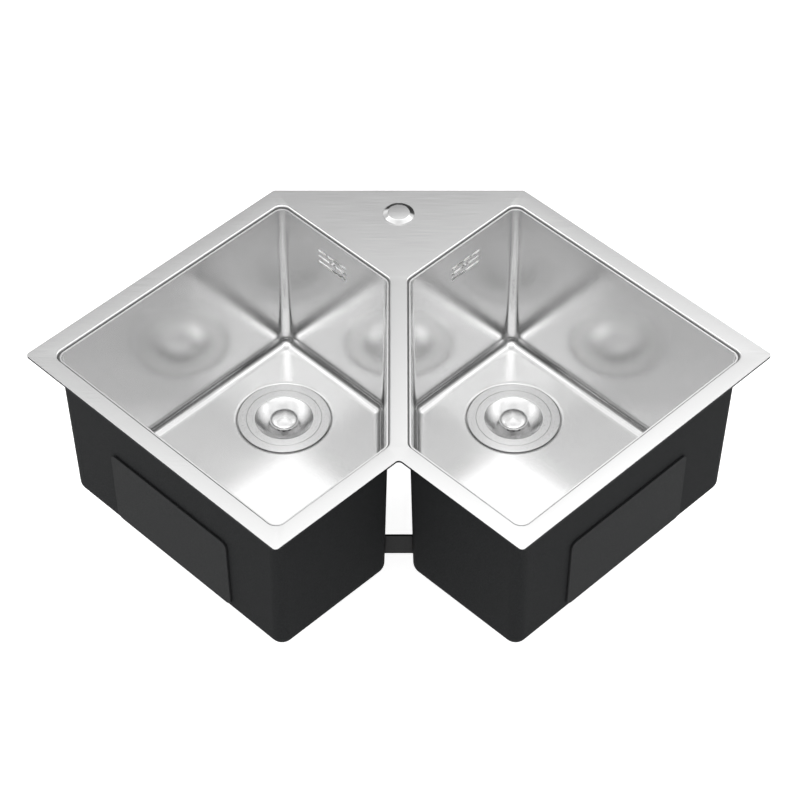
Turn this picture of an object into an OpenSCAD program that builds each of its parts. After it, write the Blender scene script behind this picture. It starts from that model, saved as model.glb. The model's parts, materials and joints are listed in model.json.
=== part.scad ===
// Corner kitchen sink: two five-sided bowls under one chevron-shaped deck, for a corner base cabinet.
// Millimetres. X runs from the left bowl to the right bowl, Y from the front notch to the back edge, Z up.
// The origin lies in the worktop plane, midway across the deck and midway from front to back.
// Every slanted edge in plan runs at 45 degrees. The right half is drawn and the left half mirrors it.

/* [Deck plate] */
// Width of the deck across its two side corners, before they are rounded
deck_w = 860; // [820:1:900]
// Length of the straight back edge
back_edge = 304; // [270:1:340]
// Length of each front edge, from side corner to front tip
front_edge = 419; // [400:1:430]
// Thickness of the deck plate
deck_t = 3; // [2:0.5:4]
// Rim between a bowl opening and the slanted back edge
side_rim = 24; // [20:0.5:32]
// Rim between a bowl opening and its front edge
front_rim = 22.5; // [20:0.5:32]
// Rim between a bowl opening and the notch
notch_rim = 23; // [20:0.5:30]
// Length of a bowl opening, from its front edge to its inner back edge
bowl_across = 362; // [330:1:380]
// Width of the divider between the two openings
divider_w = 22; // [20:0.5:40]
// Corner radius of the deck at its sides, tips and notch
deck_corner_r = 5; // [2:0.5:8]
// Corner radius of the bowl openings
opening_r = 12; // [8:0.5:20]
// Diameter of the tap hole
tap_hole_d = 32; // [28:0.5:36]
// Distance of the tap hole from the back edge
tap_hole_setback = 42.5; // [36:0.5:60]

/* [Seal strip] */
// Thickness of the seal strip under the deck
strip_t = 1.5; // [1:0.25:3]
// Width of the seal strip
strip_w = 8; // [5:0.5:8]
// Distance of the strip from the deck's edge
strip_margin = 4; // [2:0.5:5]

/* [Bowls] */
// Depth of the bowls, from the deck's top to the floor
bowl_depth = 225; // [180:1:240]
// Step between the opening's edge and the bowl's wall
bowl_ledge = 3; // [1:0.25:4]
// Thickness of the bowl sheet
sheet_t = 1; // [0.8:0.1:1.5]
// Lean of the bowl walls in degrees
wall_lean = 1.25; // [0.5:0.25:2]
// Corner radius of the bowl at its top
bowl_corner_r = 11; // [8:0.5:16]
// Radius between the floor and the walls
floor_r = 14; // [10:0.5:20]
// Width of the welding flange round the top of a bowl
weld_flange_w = 5; // [4:0.5:6]
// Distance of the drain from the inner back edge and from the slanted back edge
drain_setback = 102; // [98:1:130]

/* [Sound coat and pads] */
// Thickness of the sound coat
coat_t = 0.8; // [0.5:0.1:1]
// Thickness of the sound pads
pad_t = 3; // [2:0.5:4]
// Width of the front pads
pad_w = 196; // [150:1:240]
// Height of the front pads
pad_h = 110; // [80:1:130]
// Corner radius of the pads
pad_r = 8; // [4:1:14]
// Length of the floor pads along the front wall
floor_pad_l = 220; // [160:1:260]
// Depth of the floor pads from front to back
floor_pad_d = 120; // [80:1:130]
// Distance of the floor pads from the opening's front edge
floor_pad_setback = 48; // [40:1:56]

/* [Brace] */
// Height of the brace bar
brace_h = 31; // [20:1:40]
// Thickness of the brace bar
brace_t = 3; // [2:0.5:5]
// Depth of the brace bar's top edge below the deck's top
brace_drop = 169; // [120:1:175]
// Distance of the brace bar behind the front corners of the bowls
brace_setback = 4; // [1:0.5:30]

/* [Overflow] */
// Depth of the overflow's centre below the deck's top
overflow_drop = 40; // [36:1:60]
// Width of the field of overflow slots
slot_field_w = 48; // [40:1:56]
// Height of one slot
slot_h = 4.4; // [3:0.2:5]
// Distance from one row of slots to the next
slot_pitch = 8.6; // [7:0.2:10]
// Bridge between two slots in a row
slot_bridge = 1.8; // [1.2:0.2:3]
// Diameter of the overflow screw's head
overflow_head_d = 6; // [5:0.2:8]
// Height of the overflow screw's head
overflow_head_h = 1.8; // [1.2:0.1:2.4]
// Diameter of the overflow screw's shank
overflow_screw_d = 4; // [3:0.5:4]
// Length of the overflow screw under its head
overflow_screw_l = 16; // [12:1:20]
// Width of the overflow housing
overflow_box_w = 62; // [60:1:72]
// Height of the overflow housing
overflow_box_h = 36; // [34:1:44]
// Depth of the overflow housing behind its seal
overflow_box_d = 20; // [18:1:28]
// Wall of the overflow housing
overflow_wall = 2; // [1.5:0.25:3]
// Thickness of the overflow seal
overflow_seal_t = 2.5; // [1.5:0.25:4]
// Outer diameter of the hose spigots
spigot_d = 20; // [16:0.5:22]
// Bore of the hose spigots
spigot_bore = 14; // [10:0.5:14.5]
// Length of the hose spigots
spigot_l = 28; // [20:1:36]

/* [Strainer body] */
// Outer diameter of the strainer's flange
flange_d = 114; // [112:0.5:118]
// Depth of the seat pressed into the floor
seat_depth = 3; // [2.5:0.25:4]
// Gap between the flange and the rim of its seat
seat_gap = 2; // [1:0.25:3]
// Depth of the flange's top below the floor
flange_sink = 0.2; // [0:0.1:0.5]
// Thickness of the seal under the flange
flange_seal_t = 0.8; // [0.5:0.1:1]
// Width of the land that carries the basket's rim
land_w = 2.7; // [2:0.1:3]
// Wall of the strainer cup
cup_t = 0.9; // [0.7:0.1:1.2]
// Depth of the strainer cup below the floor
cup_depth = 38; // [34:1:50]
// Bend radius at the foot of the cup
cup_bend_r = 4; // [2:0.5:5]
// Diameter of the outlet holes in the cup
outlet_hole_d = 14; // [10:0.5:15]
// Number of outlet holes in the cup
outlet_holes = 6; // [4:1:6]
// Radius of the circle of outlet holes
outlet_circle_r = 18.5; // [18:0.25:19]

/* [Basket and plunger] */
// Diameter of the basket's rim
basket_d = 92.4; // [90:0.1:95]
// Diameter of the mouth of the basket's dish
dish_mouth_d = 71; // [64:0.5:76]
// Diameter of the flat bottom of the dish
dish_floor_d = 40; // [38:0.5:44]
// Depth of the dish
dish_depth = 10; // [9:0.5:14]
// Sheet thickness of the basket
basket_t = 0.8; // [0.6:0.1:1]
// Diameter of the basket's drain holes
basket_hole_d = 3.6; // [2:0.2:4]
// Number of drain holes in the basket
basket_holes = 12; // [8:1:12]
// Radius of the circle of basket holes
basket_circle_r = 13; // [12:0.25:14]
// Length of the guide under the basket
guide_l = 6; // [4:0.5:10]
// Diameter of the knob
knob_d = 35.6; // [32:0.2:37]
// Height of the knob's top above the floor
knob_rise = 3; // [1:0.25:5]
// Height of the knob's dome with its rim
knob_h = 7.3; // [6:0.1:8]
// Height of the straight rim of the knob
knob_rim_h = 1; // [0.5:0.1:2]
// Shell thickness of the knob
knob_t = 1.4; // [1:0.1:2]
// Diameter of the plunger's stem
stem_d = 6; // [5:0.1:7]
// Radial play of the stem in the basket and in the centre screw
stem_play = 0.05; // [0.02:0.01:0.09]
// Travel of the plunger from closed to open
plunger_travel = 8; // [5:0.5:10]
// Diameter of the rubber stopper
stopper_d = 60; // [56:1:64]
// Thickness of the rubber stopper
stopper_t = 6; // [5:0.5:8]
// Diameter of the shoulder above the stopper
shoulder_d = 12; // [9:0.5:16]
// Height of the shoulder above the stopper
shoulder_h = 1.5; // [1:0.25:3]

/* [Centre screw] */
// Diameter of the screw's head
screw_head_d = 18; // [16:0.5:20]
// Height of the screw's head
screw_head_h = 2.5; // [2:0.1:3]
// Diameter of the screw's shank
screw_d = 10; // [9.6:0.1:10.6]
// Length of the screw under its head
screw_l = 24; // [22:0.5:28]
// Depth of the stem's bore in the screw
stem_bore_l = 16; // [14:0.5:18]
// Width of the screwdriver slot
driver_slot_w = 2; // [1.5:0.1:2.5]
// Depth of the screwdriver slot
driver_slot_h = 1; // [0.8:0.1:1.2]
// Wire thickness of the stem clip
clip_wire_d = 1; // [0.8:0.1:1.1]
// Angle left open by the stem clip
clip_gap_angle = 30; // [20:5:60]
// Width of the insert nut across its flats
insert_af = 17; // [15:0.5:18]
// Height of the insert nut
insert_h = 8; // [6:0.5:9]

/* [Waste housing] */
// Thickness of the gasket under the sink floor
gasket_t = 2; // [1.5:0.25:3]
// Play between the strainer cup and the floor's hole
cup_play = 1.2; // [0.5:0.1:2]
// Space for the overflow water round the strainer cup
overflow_way = 4; // [3:0.25:4.5]
// Wall of the waste housing
housing_wall = 3; // [2.5:0.25:4]
// Thickness of the housing's flange
housing_flange_t = 4; // [3:0.5:6]
// Length of the housing's straight part below its flange
housing_body_l = 41; // [40:1:50]
// Length of the housing's cone
housing_cone_l = 15; // [12:1:24]
// Outer diameter of the threaded tail
tail_d = 47.8; // [45:0.1:49]
// Bore of the tail
tail_bore = 41; // [38:0.5:42]
// Length of the threaded tail
tail_l = 30; // [20:1:45]
// Depth of the housing's spigot below the floor
housing_spigot_drop = 29; // [24:0.5:32]
// Height of the shoulder at the spigot's root, where the hose stops
spigot_shoulder_h = 2; // [1.5:0.25:4]
// Width of that shoulder round the spigot
spigot_shoulder_w = 2.5; // [1.5:0.25:4]
// Outer diameter of the hub that holds the insert nut
hub_d = 26; // [24:0.5:28]
// Height of the hub
hub_h = 19; // [18:0.5:22]
// Thickness of the ribs that carry the hub
rib_t = 3; // [2:0.5:4]
// Height of the ribs
rib_h = 6; // [4:0.5:6]
// Number of ribs
ribs = 3; // [3:1:6]
// Drop of the hub and ribs below the strainer cup
hub_gap = 1; // [0.5:0.25:2]

/* [Tap-hole cover] */
// Diameter of the cover
cover_d = 37.6; // [36:0.2:42]
// Diameter of the cover's flat top
cover_top_d = 26; // [20:0.5:30]
// Height of the cover above the deck
cover_h = 3.3; // [2.5:0.1:5]
// Height of the cover's straight rim
cover_rim_h = 0.6; // [0.4:0.1:1]
// Thickness of the seal under the cover
cover_seal_t = 1; // [0.6:0.1:1.5]
// Width of the lip that hides the seal
cover_lip_w = 1; // [0.6:0.1:1.2]
// Diameter of the cover's stud
stud_d = 8; // [6:0.5:10]
// Length of the stud below the cover
stud_l = 26; // [22:1:36]
// Diameter of the clamping washer
washer_d = 42; // [40:0.5:46]
// Thickness of the clamping washer
washer_t = 2; // [1.5:0.25:3]
// Diameter of the wing nut's hub
wing_hub_d = 14; // [12:0.5:16]
// Height of the wing nut's hub
wing_hub_h = 7; // [6:0.5:9]
// Span of the wings
wing_span = 34; // [28:1:40]
// Height of the wings
wing_h = 12; // [10:0.5:14]
// Thickness of the wings
wing_t = 2.5; // [2:0.25:3]

/* [Hidden] */

// Shared clearances and overruns
overrun = 1;         // how far a cut runs past a face
seat_play = 0.2;     // gap under a piece that is lifted off its seat
press_play = 0.05;   // gap between pieces pressed or screwed together
loose_play = 0.3;    // gap round a piece dropped into its place
edge_break = 0.5;    // small rounding of turned edges
slab_t = 0.5;        // thickness of the slab that spans a bowl's floor

// Smoothness
turned_fn = 96;
small_fn = 48;
ball_fn = 32;
wire_fn = 16;
arc_steps = 8;

root2 = sqrt(2);
spigot_turn = 45;    // turn of the housing's spigot towards the overflow

// Levels
deck_bottom = strip_t;
deck_top = deck_bottom + deck_t;
floor_z = deck_top - bowl_depth;
ball_z = floor_z + floor_r;
sheet_lean_t = sheet_t / cos(wall_lean);
coat_lean_t = coat_t / cos(wall_lean);

// Plan of the deck: sums x+y of the edges that fall to the right, differences x-y of the others
half_w = deck_w / 2;
half_back = back_edge / 2;
tip_run = front_edge / root2;
deck_l = half_w - half_back + tip_run;
side_y = deck_l / 2 - (half_w - half_back);
tip_x = half_w - tip_run;
tip_y = -deck_l / 2;

// Edges of the right opening
side_sum = half_w + side_y - side_rim * root2;
notch_sum = tip_x + tip_y + notch_rim * root2;
front_diff = half_w - side_y - front_rim * root2;
inner_diff = front_diff - bowl_across * root2;
mid_sum = (side_sum + notch_sum) / 2;

// Places of the drain and of the overflow
drain_sum = side_sum - drain_setback * root2;
drain_diff = inner_diff + drain_setback * root2;
drain_at = crossing(drain_sum, drain_diff);
overflow_z = deck_top - overflow_drop;
inner_wall_sum = (side_sum + divider_w + bowl_ledge * 2 - inner_diff) / 2;
overflow_at = crossing(inner_wall_sum, inner_diff + wall_inset(overflow_z) * root2);
tap_y = deck_l / 2 - tap_hole_setback;

// Levels and radii of the strainer, below the floor
flange_r = flange_d / 2;
seat_r = flange_r + seat_gap;
seal_top = -seat_depth + flange_seal_t;
flange_top = -flange_sink;
basket_r = basket_d / 2;
land_r = basket_r + loose_play;
land_z = flange_top - basket_t - seat_play;
cup_inner_r = land_r - land_w;
cup_outer_r = cup_inner_r + cup_t;
floor_hole_r = cup_outer_r + cup_play;
stem_r = stem_d / 2;
tip_r = stem_r - edge_break;
stem_bore_r = tip_r + stem_play;
clip_r = tip_r + stem_play + clip_wire_d / 2;
clip_z = -cup_depth + screw_head_h - driver_slot_h - clip_wire_d * 2;
stopper_z = -cup_depth + seat_play;
knob_top = knob_rise;
knob_rim_z = knob_top - knob_h;
insert_r = insert_af / 2 / cos(30);

// Levels and radii of the waste housing, below the floor
gasket_z = -seat_depth - sheet_t - gasket_t;
housing_inner_r = cup_outer_r + overflow_way;
housing_outer_r = housing_inner_r + housing_wall;
housing_flange_r = max(flange_r, housing_outer_r + housing_wall);
cone_z = gasket_z - housing_body_l;
tail_z = cone_z - housing_cone_l;
hub_z = -cup_depth - cup_t - hub_gap;

// Helpers

// Point where the line x+y = total crosses the line x-y = gap
function crossing(total, gap) = [(total + gap) / 2, (total - gap) / 2];

// Inset of a bowl's inner wall from the opening's edge, at a height
function wall_inset(z) = bowl_ledge + (deck_bottom - z) * tan(wall_lean);

// Plan of the right opening, drawn in by an inset
function opening_points(inset) = let (
    x0 = divider_w / 2 + inset,
    near = notch_sum + inset * root2,
    far = side_sum - inset * root2,
    front = front_diff - inset * root2,
    back = inner_diff + inset * root2
) [[x0, near - x0], crossing(near, front), crossing(far, front), crossing(far, back), [x0, x0 - back]];

// Arc that rounds the corner at p between its neighbours a and b
function corner_arc(a, p, b, r) = let (
    u = (a - p) / norm(a - p),
    v = (b - p) / norm(b - p),
    half = acos(u * v) / 2,
    c = p + (u + v) / norm(u + v) * r / sin(half),
    s = p + u * r / tan(half) - c,
    e = p + v * r / tan(half) - c,
    turn = atan2(s[0] * e[1] - s[1] * e[0], s * e)
) [for (i = [0:arc_steps]) let (w = turn * i / arc_steps)
    c + [s[0] * cos(w) - s[1] * sin(w), s[0] * sin(w) + s[1] * cos(w)]];

function rounded(pts, r) = let (n = len(pts))
    [for (i = [0:n - 1]) each corner_arc(pts[(i + n - 1) % n], pts[i], pts[(i + 1) % n], r)];

// Deck outline, drawn in by an inset
function deck_points(inset) = let (
    b = half_w - inset * root2,
    back_y = deck_l / 2 - inset,
    back_x = half_w + side_y - inset * root2 - back_y,
    tip = crossing(tip_x + tip_y + inset * root2, half_w - side_y - inset * root2),
    notch = tip_x + tip_y + inset * root2
) [[0, notch], tip, [b, side_y], [back_x, back_y], [-back_x, back_y], [-b, side_y], [-tip[0], tip[1]]];

module slab(pts, z, t) {
    translate([0, 0, z]) linear_extrude(t) polygon(pts);
}

// Solid of one bowl, grown outwards by a thickness: its top slab, the balls at its floor corners and its floor
module bowl_solid(grow, top_z, top_t) {
    ball_inset = wall_inset(ball_z) + floor_r / cos(wall_lean);
    hull() {
        slab(rounded(opening_points(wall_inset(top_z) - grow / cos(wall_lean)), bowl_corner_r + grow),
            top_z, top_t);
        slab(opening_points(ball_inset), floor_z - grow, slab_t);
        for (p = opening_points(ball_inset))
            translate([p[0], p[1], ball_z]) sphere(floor_r + grow, $fn = ball_fn);
    }
}

// Places its children at the right drain, at floor level
module at_drain() {
    translate([drain_at[0], drain_at[1], floor_z]) children();
}

// Places its children on the right inner back wall: x along the wall, y out of the bowl, z up the wall
module at_overflow() {
    translate([overflow_at[0], overflow_at[1], overflow_z])
        rotate([0, 0, 45]) rotate([-wall_lean, 0, 0]) children();
}

// Rounded plate in the x-z plane, from y to y + t
module wall_plate(w, h, r, y, t) {
    x = w / 2;
    z = h / 2;
    translate([0, y + t, 0]) rotate([90, 0, 0]) linear_extrude(t)
        polygon(rounded([[-x, -z], [x, -z], [x, z], [-x, z]], r));
}

// Slot of the overflow from x0 to x1 with round ends
module slot(x0, x1, z, y, t) {
    r = slot_h / 2;
    for (x = [x0 + r, x1 - r])
        translate([x, y + t, z]) rotate([90, 0, 0]) cylinder(t, r, r, $fn = small_fn);
    if (x1 - x0 > slot_h)
        translate([x0 + r, y, z - r]) cube([x1 - x0 - slot_h, t, slot_h]);
}

module overflow_slots(y, t) {
    x = slot_field_w / 2;
    // a row's short slot is this share of the field, and its long slot takes the rest
    short_share = 0.3;
    step = slot_field_w * short_share;
    row_bridge = slot_bridge / 2;
    slot(step - x + row_bridge, x, -slot_pitch, y, t);
    slot(-x, step - x - row_bridge, -slot_pitch, y, t);
    slot(-x, x - step - row_bridge, slot_pitch, y, t);
    slot(x - step + row_bridge, x, slot_pitch, y, t);
    dot = overflow_head_d / 2 + slot_bridge;
    slot(-x, -dot, 0, y, t);
    slot(dot, x, 0, y, t);
}

// Deck and what lies under it

module deck() {
    color("gainsboro") translate([0, 0, deck_bottom]) linear_extrude(deck_t) difference() {
        polygon(rounded(deck_points(0), deck_corner_r));
        for (side = [0, 1])
            mirror([side, 0]) polygon(rounded(opening_points(0), opening_r));
        translate([0, tap_y]) circle(tap_hole_d / 2, $fn = turned_fn);
    }
}

module seal_strip() {
    outer = strip_margin;
    inner = strip_margin + strip_w;
    color("dimgray") linear_extrude(strip_t) difference() {
        polygon(rounded(deck_points(outer), deck_corner_r));
        polygon(rounded(deck_points(inner), deck_corner_r));
    }
}

module bowl_brace() {
    top = deck_top - brace_drop;
    skin = sheet_lean_t + coat_lean_t;
    x_top = divider_w / 2 + wall_inset(top) - skin;
    x_low = divider_w / 2 + wall_inset(top - brace_h) - skin;
    corner_y = notch_sum + (wall_inset(top) - skin) * root2 - x_top;
    round_run = (bowl_corner_r + sheet_t + coat_t) * tan(22.5);
    color("black") translate([0, corner_y + round_run + brace_setback + brace_t, 0])
        rotate([90, 0, 0]) linear_extrude(brace_t)
            polygon([[-x_low, top - brace_h], [x_low, top - brace_h], [x_top, top], [-x_top, top]]);
}

// Bowls and their coats and pads

module bowl() {
    weld_inset = bowl_ledge - sheet_lean_t - weld_flange_w;
    screw_hole_r = overflow_screw_d / 2 + press_play;
    color("silver") difference() {
        union() {
            bowl_solid(sheet_t, deck_bottom - sheet_t, sheet_t);
            slab(rounded(opening_points(weld_inset), bowl_corner_r + weld_flange_w), deck_bottom - sheet_t,
                sheet_t);
            at_drain() translate([0, 0, -seat_depth - sheet_t])
                cylinder(seat_depth, seat_r + sheet_t, seat_r + sheet_t, $fn = turned_fn);
        }
        bowl_solid(0, deck_bottom, overrun);
        at_drain() {
            translate([0, 0, -seat_depth]) cylinder(seat_depth + overrun, seat_r, seat_r, $fn = turned_fn);
            translate([0, 0, -seat_depth - sheet_t - overrun])
                cylinder(seat_depth + sheet_t + overrun, floor_hole_r, floor_hole_r, $fn = turned_fn);
        }
        at_overflow() {
            overflow_slots(-overrun, sheet_t + overrun * 2);
            translate([0, sheet_t + overrun, 0]) rotate([90, 0, 0])
                cylinder(sheet_t + overrun * 2, screw_hole_r, screw_hole_r, $fn = small_fn);
        }
    }
}

module sound_coat() {
    window_w = overflow_box_w + loose_play * 2;
    window_h = overflow_box_h + loose_play * 2;
    hole_r = seat_r + sheet_t + loose_play;
    color([0.17, 0.175, 0.18]) difference() {
        bowl_solid(sheet_t + coat_t, deck_bottom - sheet_t * 2, sheet_t);
        bowl_solid(sheet_t, deck_bottom - sheet_t, sheet_t);
        at_drain() translate([0, 0, -seat_depth - sheet_t - overrun])
            cylinder(seat_depth + overrun * 2, hole_r, hole_r, $fn = turned_fn);
        at_overflow() wall_plate(window_w, window_h, overflow_wall, 0, sheet_t + coat_t + overrun);
    }
}

module front_pad() {
    z = ball_z + pad_h / 2;
    out = sheet_t + coat_t;
    at = crossing(mid_sum, front_diff - wall_inset(z) * root2);
    color([0.2, 0.205, 0.21]) translate([at[0], at[1], z]) rotate([0, 0, -135]) rotate([-wall_lean, 0, 0])
        wall_plate(pad_w, pad_h, pad_r, out, pad_t);
}

module floor_pad() {
    x = floor_pad_l / 2;
    y = floor_pad_d / 2;
    at = crossing(mid_sum, front_diff - (floor_pad_setback + y) * root2);
    color([0.2, 0.205, 0.21]) translate([at[0], at[1], floor_z - sheet_t - coat_t - pad_t])
        rotate([0, 0, 45]) linear_extrude(pad_t)
            polygon(rounded([[-x, -y], [x, -y], [x, y], [-x, y]], pad_r));
}

// Tap-hole cover

module tap_hole_cover() {
    r = cover_d / 2;
    lip_r = r - cover_lip_w;
    color("silver") translate([0, tap_y, deck_top]) {
        rotate_extrude($fn = turned_fn) polygon([
            [0, cover_seal_t], [lip_r, cover_seal_t], [lip_r, press_play], [r, press_play],
            [r, cover_rim_h], [cover_top_d / 2, cover_h], [0, cover_h]
        ]);
        translate([0, 0, cover_seal_t - stud_l])
            cylinder(stud_l + cover_seal_t, stud_d / 2, stud_d / 2, $fn = small_fn);
    }
}

module tap_cover_seal() {
    r = cover_d / 2 - cover_lip_w - press_play;
    hole_r = stud_d / 2 + loose_play;
    color("black") translate([0, tap_y, deck_top]) difference() {
        cylinder(cover_seal_t, r, r, $fn = turned_fn);
        translate([0, 0, -overrun])
            cylinder(cover_seal_t + overrun * 2, hole_r, hole_r, $fn = small_fn);
    }
}

module tap_cover_washer() {
    hole_r = stud_d / 2 + loose_play;
    color("dimgray") translate([0, tap_y, deck_bottom - washer_t]) difference() {
        cylinder(washer_t, washer_d / 2, washer_d / 2, $fn = turned_fn);
        translate([0, 0, -overrun])
            cylinder(washer_t + overrun * 2, hole_r, hole_r, $fn = small_fn);
    }
}

module tap_cover_wing_nut() {
    hub_r = wing_hub_d / 2;
    hole_r = stud_d / 2 + press_play;
    tip = wing_span / 2;
    color("silver") translate([0, tap_y, deck_bottom - washer_t - wing_hub_h]) difference() {
        union() {
            cylinder(wing_hub_h, hub_r, hub_r, $fn = small_fn);
            for (side = [0, 1])
                mirror([side, 0, 0]) translate([0, wing_t / 2, 0]) rotate([90, 0, 0]) linear_extrude(wing_t)
                    polygon(rounded([[stud_d / 2, wing_hub_h - wing_t], [stud_d / 2, wing_hub_h - wing_h],
                        [tip, -wing_t], [tip, wing_hub_h - wing_h / 2]], wing_t / 4));
        }
        translate([0, 0, -wing_h]) cylinder(wing_h + wing_hub_h + overrun, hole_r, hole_r, $fn = small_fn);
    }
}

// Overflow

module overflow_seal() {
    window_w = overflow_box_w - overflow_wall * 2;
    window_h = overflow_box_h - overflow_wall * 2;
    color("black") at_overflow() difference() {
        wall_plate(overflow_box_w, overflow_box_h, overflow_wall, sheet_t, overflow_seal_t);
        wall_plate(window_w, window_h, overflow_wall / 2, sheet_t - overrun, overflow_seal_t + overrun * 2);
    }
}

module overflow_housing() {
    front = sheet_t + overflow_seal_t;
    inner_w = overflow_box_w - overflow_wall * 2;
    inner_h = overflow_box_h - overflow_wall * 2;
    inner_d = overflow_box_d - overflow_wall;
    boss_r = overflow_screw_d / 2 + overflow_wall;
    screw_hole_r = overflow_screw_d / 2 + press_play;
    spigot_y = front + overflow_box_d / 2;
    color("white") at_overflow() difference() {
        union() {
            difference() {
                wall_plate(overflow_box_w, overflow_box_h, overflow_wall, front, overflow_box_d);
                wall_plate(inner_w, inner_h, overflow_wall / 2, front - overrun, inner_d + overrun);
            }
            translate([0, front + overflow_box_d - overflow_wall / 2, 0]) rotate([90, 0, 0])
                cylinder(overflow_box_d + overflow_seal_t - overflow_wall, boss_r, boss_r, $fn = small_fn);
            translate([0, spigot_y, -overflow_box_h / 2 - spigot_l])
                cylinder(spigot_l + overflow_wall / 2, spigot_d / 2, spigot_d / 2, $fn = small_fn);
        }
        translate([0, spigot_y, -overflow_box_h / 2 - spigot_l - overrun])
            cylinder(spigot_l + overflow_wall + overrun * 2, spigot_bore / 2, spigot_bore / 2, $fn = small_fn);
        translate([0, sheet_t + overflow_screw_l, 0]) rotate([90, 0, 0])
            cylinder(overflow_screw_l, screw_hole_r, screw_hole_r, $fn = small_fn);
    }
}

module overflow_screw() {
    h = overflow_head_h;
    color("silver") at_overflow() difference() {
        rotate([90, 0, 0]) {
            cylinder(h, overflow_head_d / 2, overflow_head_d / 2, $fn = small_fn);
            translate([0, 0, -overflow_screw_l])
                cylinder(overflow_screw_l + h / 2, overflow_screw_d / 2, overflow_screw_d / 2, $fn = small_fn);
        }
        translate([-overflow_head_d, -h - overrun, -h / 4]) cube([overflow_head_d * 2, h / 2 + overrun, h / 2]);
    }
}

// Strainer, from the floor down

module strainer_body() {
    foot_r = cup_inner_r - cup_bend_r;
    foot_z = cup_bend_r - cup_depth;
    outer_bend_r = cup_bend_r + cup_t;
    screw_hole_r = screw_d / 2 + press_play;
    bend = [for (i = [0:arc_steps]) 90 * i / arc_steps];
    color("silver") at_drain() difference() {
        rotate_extrude($fn = turned_fn) polygon(concat(
            [[0, -cup_depth - cup_t]],
            [for (a = bend) [foot_r + outer_bend_r * sin(a), foot_z - outer_bend_r * cos(a)]],
            [[cup_outer_r, seal_top], [flange_r, seal_top], [flange_r, flange_top - edge_break],
             [flange_r - edge_break, flange_top], [land_r, flange_top], [land_r, land_z], [cup_inner_r, land_z]],
            [for (a = bend) [foot_r + cup_bend_r * cos(a), foot_z - cup_bend_r * sin(a)]],
            [[0, -cup_depth]]
        ));
        for (i = [1:outlet_holes])
            rotate([0, 0, 360 * i / outlet_holes]) translate([outlet_circle_r, 0, -cup_depth - cup_t - overrun])
                cylinder(cup_t + overrun * 2, outlet_hole_d / 2, outlet_hole_d / 2, $fn = small_fn);
        translate([0, 0, -cup_depth - cup_t - overrun])
            cylinder(cup_t + overrun * 2, screw_hole_r, screw_hole_r, $fn = small_fn);
    }
}

module flange_seal() {
    color("gray") at_drain() translate([0, 0, -seat_depth]) difference() {
        cylinder(flange_seal_t, flange_r - loose_play, flange_r - loose_play, $fn = turned_fn);
        translate([0, 0, -overrun])
            cylinder(flange_seal_t + overrun * 2, floor_hole_r, floor_hole_r, $fn = turned_fn);
    }
}

module sink_gasket() {
    color("black") at_drain() translate([0, 0, gasket_z]) difference() {
        cylinder(gasket_t, housing_flange_r, housing_flange_r, $fn = turned_fn);
        translate([0, 0, -overrun])
            cylinder(gasket_t + overrun * 2, housing_inner_r, housing_inner_r, $fn = turned_fn);
    }
}

module waste_housing() {
    flange_low = gasket_z - housing_flange_t;
    tail_low = tail_z - tail_l;
    outer = [[housing_inner_r, gasket_z], [housing_flange_r, gasket_z], [housing_flange_r, flange_low],
        [housing_outer_r, flange_low], [housing_outer_r, cone_z], [tail_d / 2, tail_z], [tail_d / 2, tail_low]];
    inner = [[tail_bore / 2, tail_low], [tail_bore / 2, tail_z], [housing_inner_r, cone_z + housing_wall / 2]];
    rib_l = housing_inner_r + housing_wall / 2;
    shoulder_r = housing_outer_r + spigot_shoulder_h;
    screw_hole_r = screw_d / 2 + press_play;
    color("whitesmoke") at_drain() difference() {
        union() {
            rotate_extrude($fn = turned_fn) polygon(concat(outer, inner));
            translate([0, 0, hub_z - hub_h]) cylinder(hub_h, hub_d / 2, hub_d / 2, $fn = small_fn);
            for (i = [1:ribs])
                rotate([0, 0, 360 * i / ribs + spigot_turn]) translate([0, -rib_t / 2, hub_z - rib_h])
                    cube([rib_l, rib_t, rib_h]);
            difference() {
                translate([0, 0, -housing_spigot_drop]) rotate([-90, 0, spigot_turn]) {
                    cylinder(shoulder_r + spigot_l, spigot_d / 2, spigot_d / 2, $fn = small_fn);
                    cylinder(shoulder_r, spigot_d / 2 + spigot_shoulder_w, spigot_d / 2 + spigot_shoulder_w,
                        $fn = small_fn);
                }
                translate([0, 0, cone_z])
                    cylinder(housing_body_l, housing_inner_r, housing_inner_r, $fn = turned_fn);
            }
        }
        translate([0, 0, -housing_spigot_drop]) rotate([-90, 0, spigot_turn])
            translate([0, 0, housing_inner_r - spigot_d])
                cylinder(shoulder_r + spigot_l + spigot_d, spigot_bore / 2, spigot_bore / 2, $fn = small_fn);
        translate([0, 0, hub_z - hub_h - overrun])
            cylinder(hub_h + overrun * 2, screw_hole_r, screw_hole_r, $fn = small_fn);
        translate([0, 0, hub_z - hub_h - overrun])
            cylinder(insert_h + overrun, insert_r + press_play, insert_r + press_play, $fn = 6);
    }
}

module centre_screw() {
    head_r = screw_head_d / 2;
    groove_r = clip_r + clip_wire_d / 2 + press_play;
    color("silver") at_drain() difference() {
        union() {
            translate([0, 0, -cup_depth]) cylinder(screw_head_h, head_r, head_r, $fn = small_fn);
            translate([0, 0, -cup_depth - screw_l])
                cylinder(screw_l + screw_head_h / 2, screw_d / 2, screw_d / 2, $fn = small_fn);
        }
        translate([0, 0, -cup_depth + screw_head_h - stem_bore_l])
            cylinder(stem_bore_l + overrun, stem_bore_r, stem_bore_r, $fn = small_fn);
        translate([0, 0, clip_z - clip_wire_d / 2 - press_play])
            cylinder(clip_wire_d + press_play * 2, groove_r, groove_r, $fn = small_fn);
        translate([-screw_head_d, -driver_slot_w / 2, -cup_depth + screw_head_h - driver_slot_h])
            cube([screw_head_d * 2, driver_slot_w, driver_slot_h + overrun]);
    }
}

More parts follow.
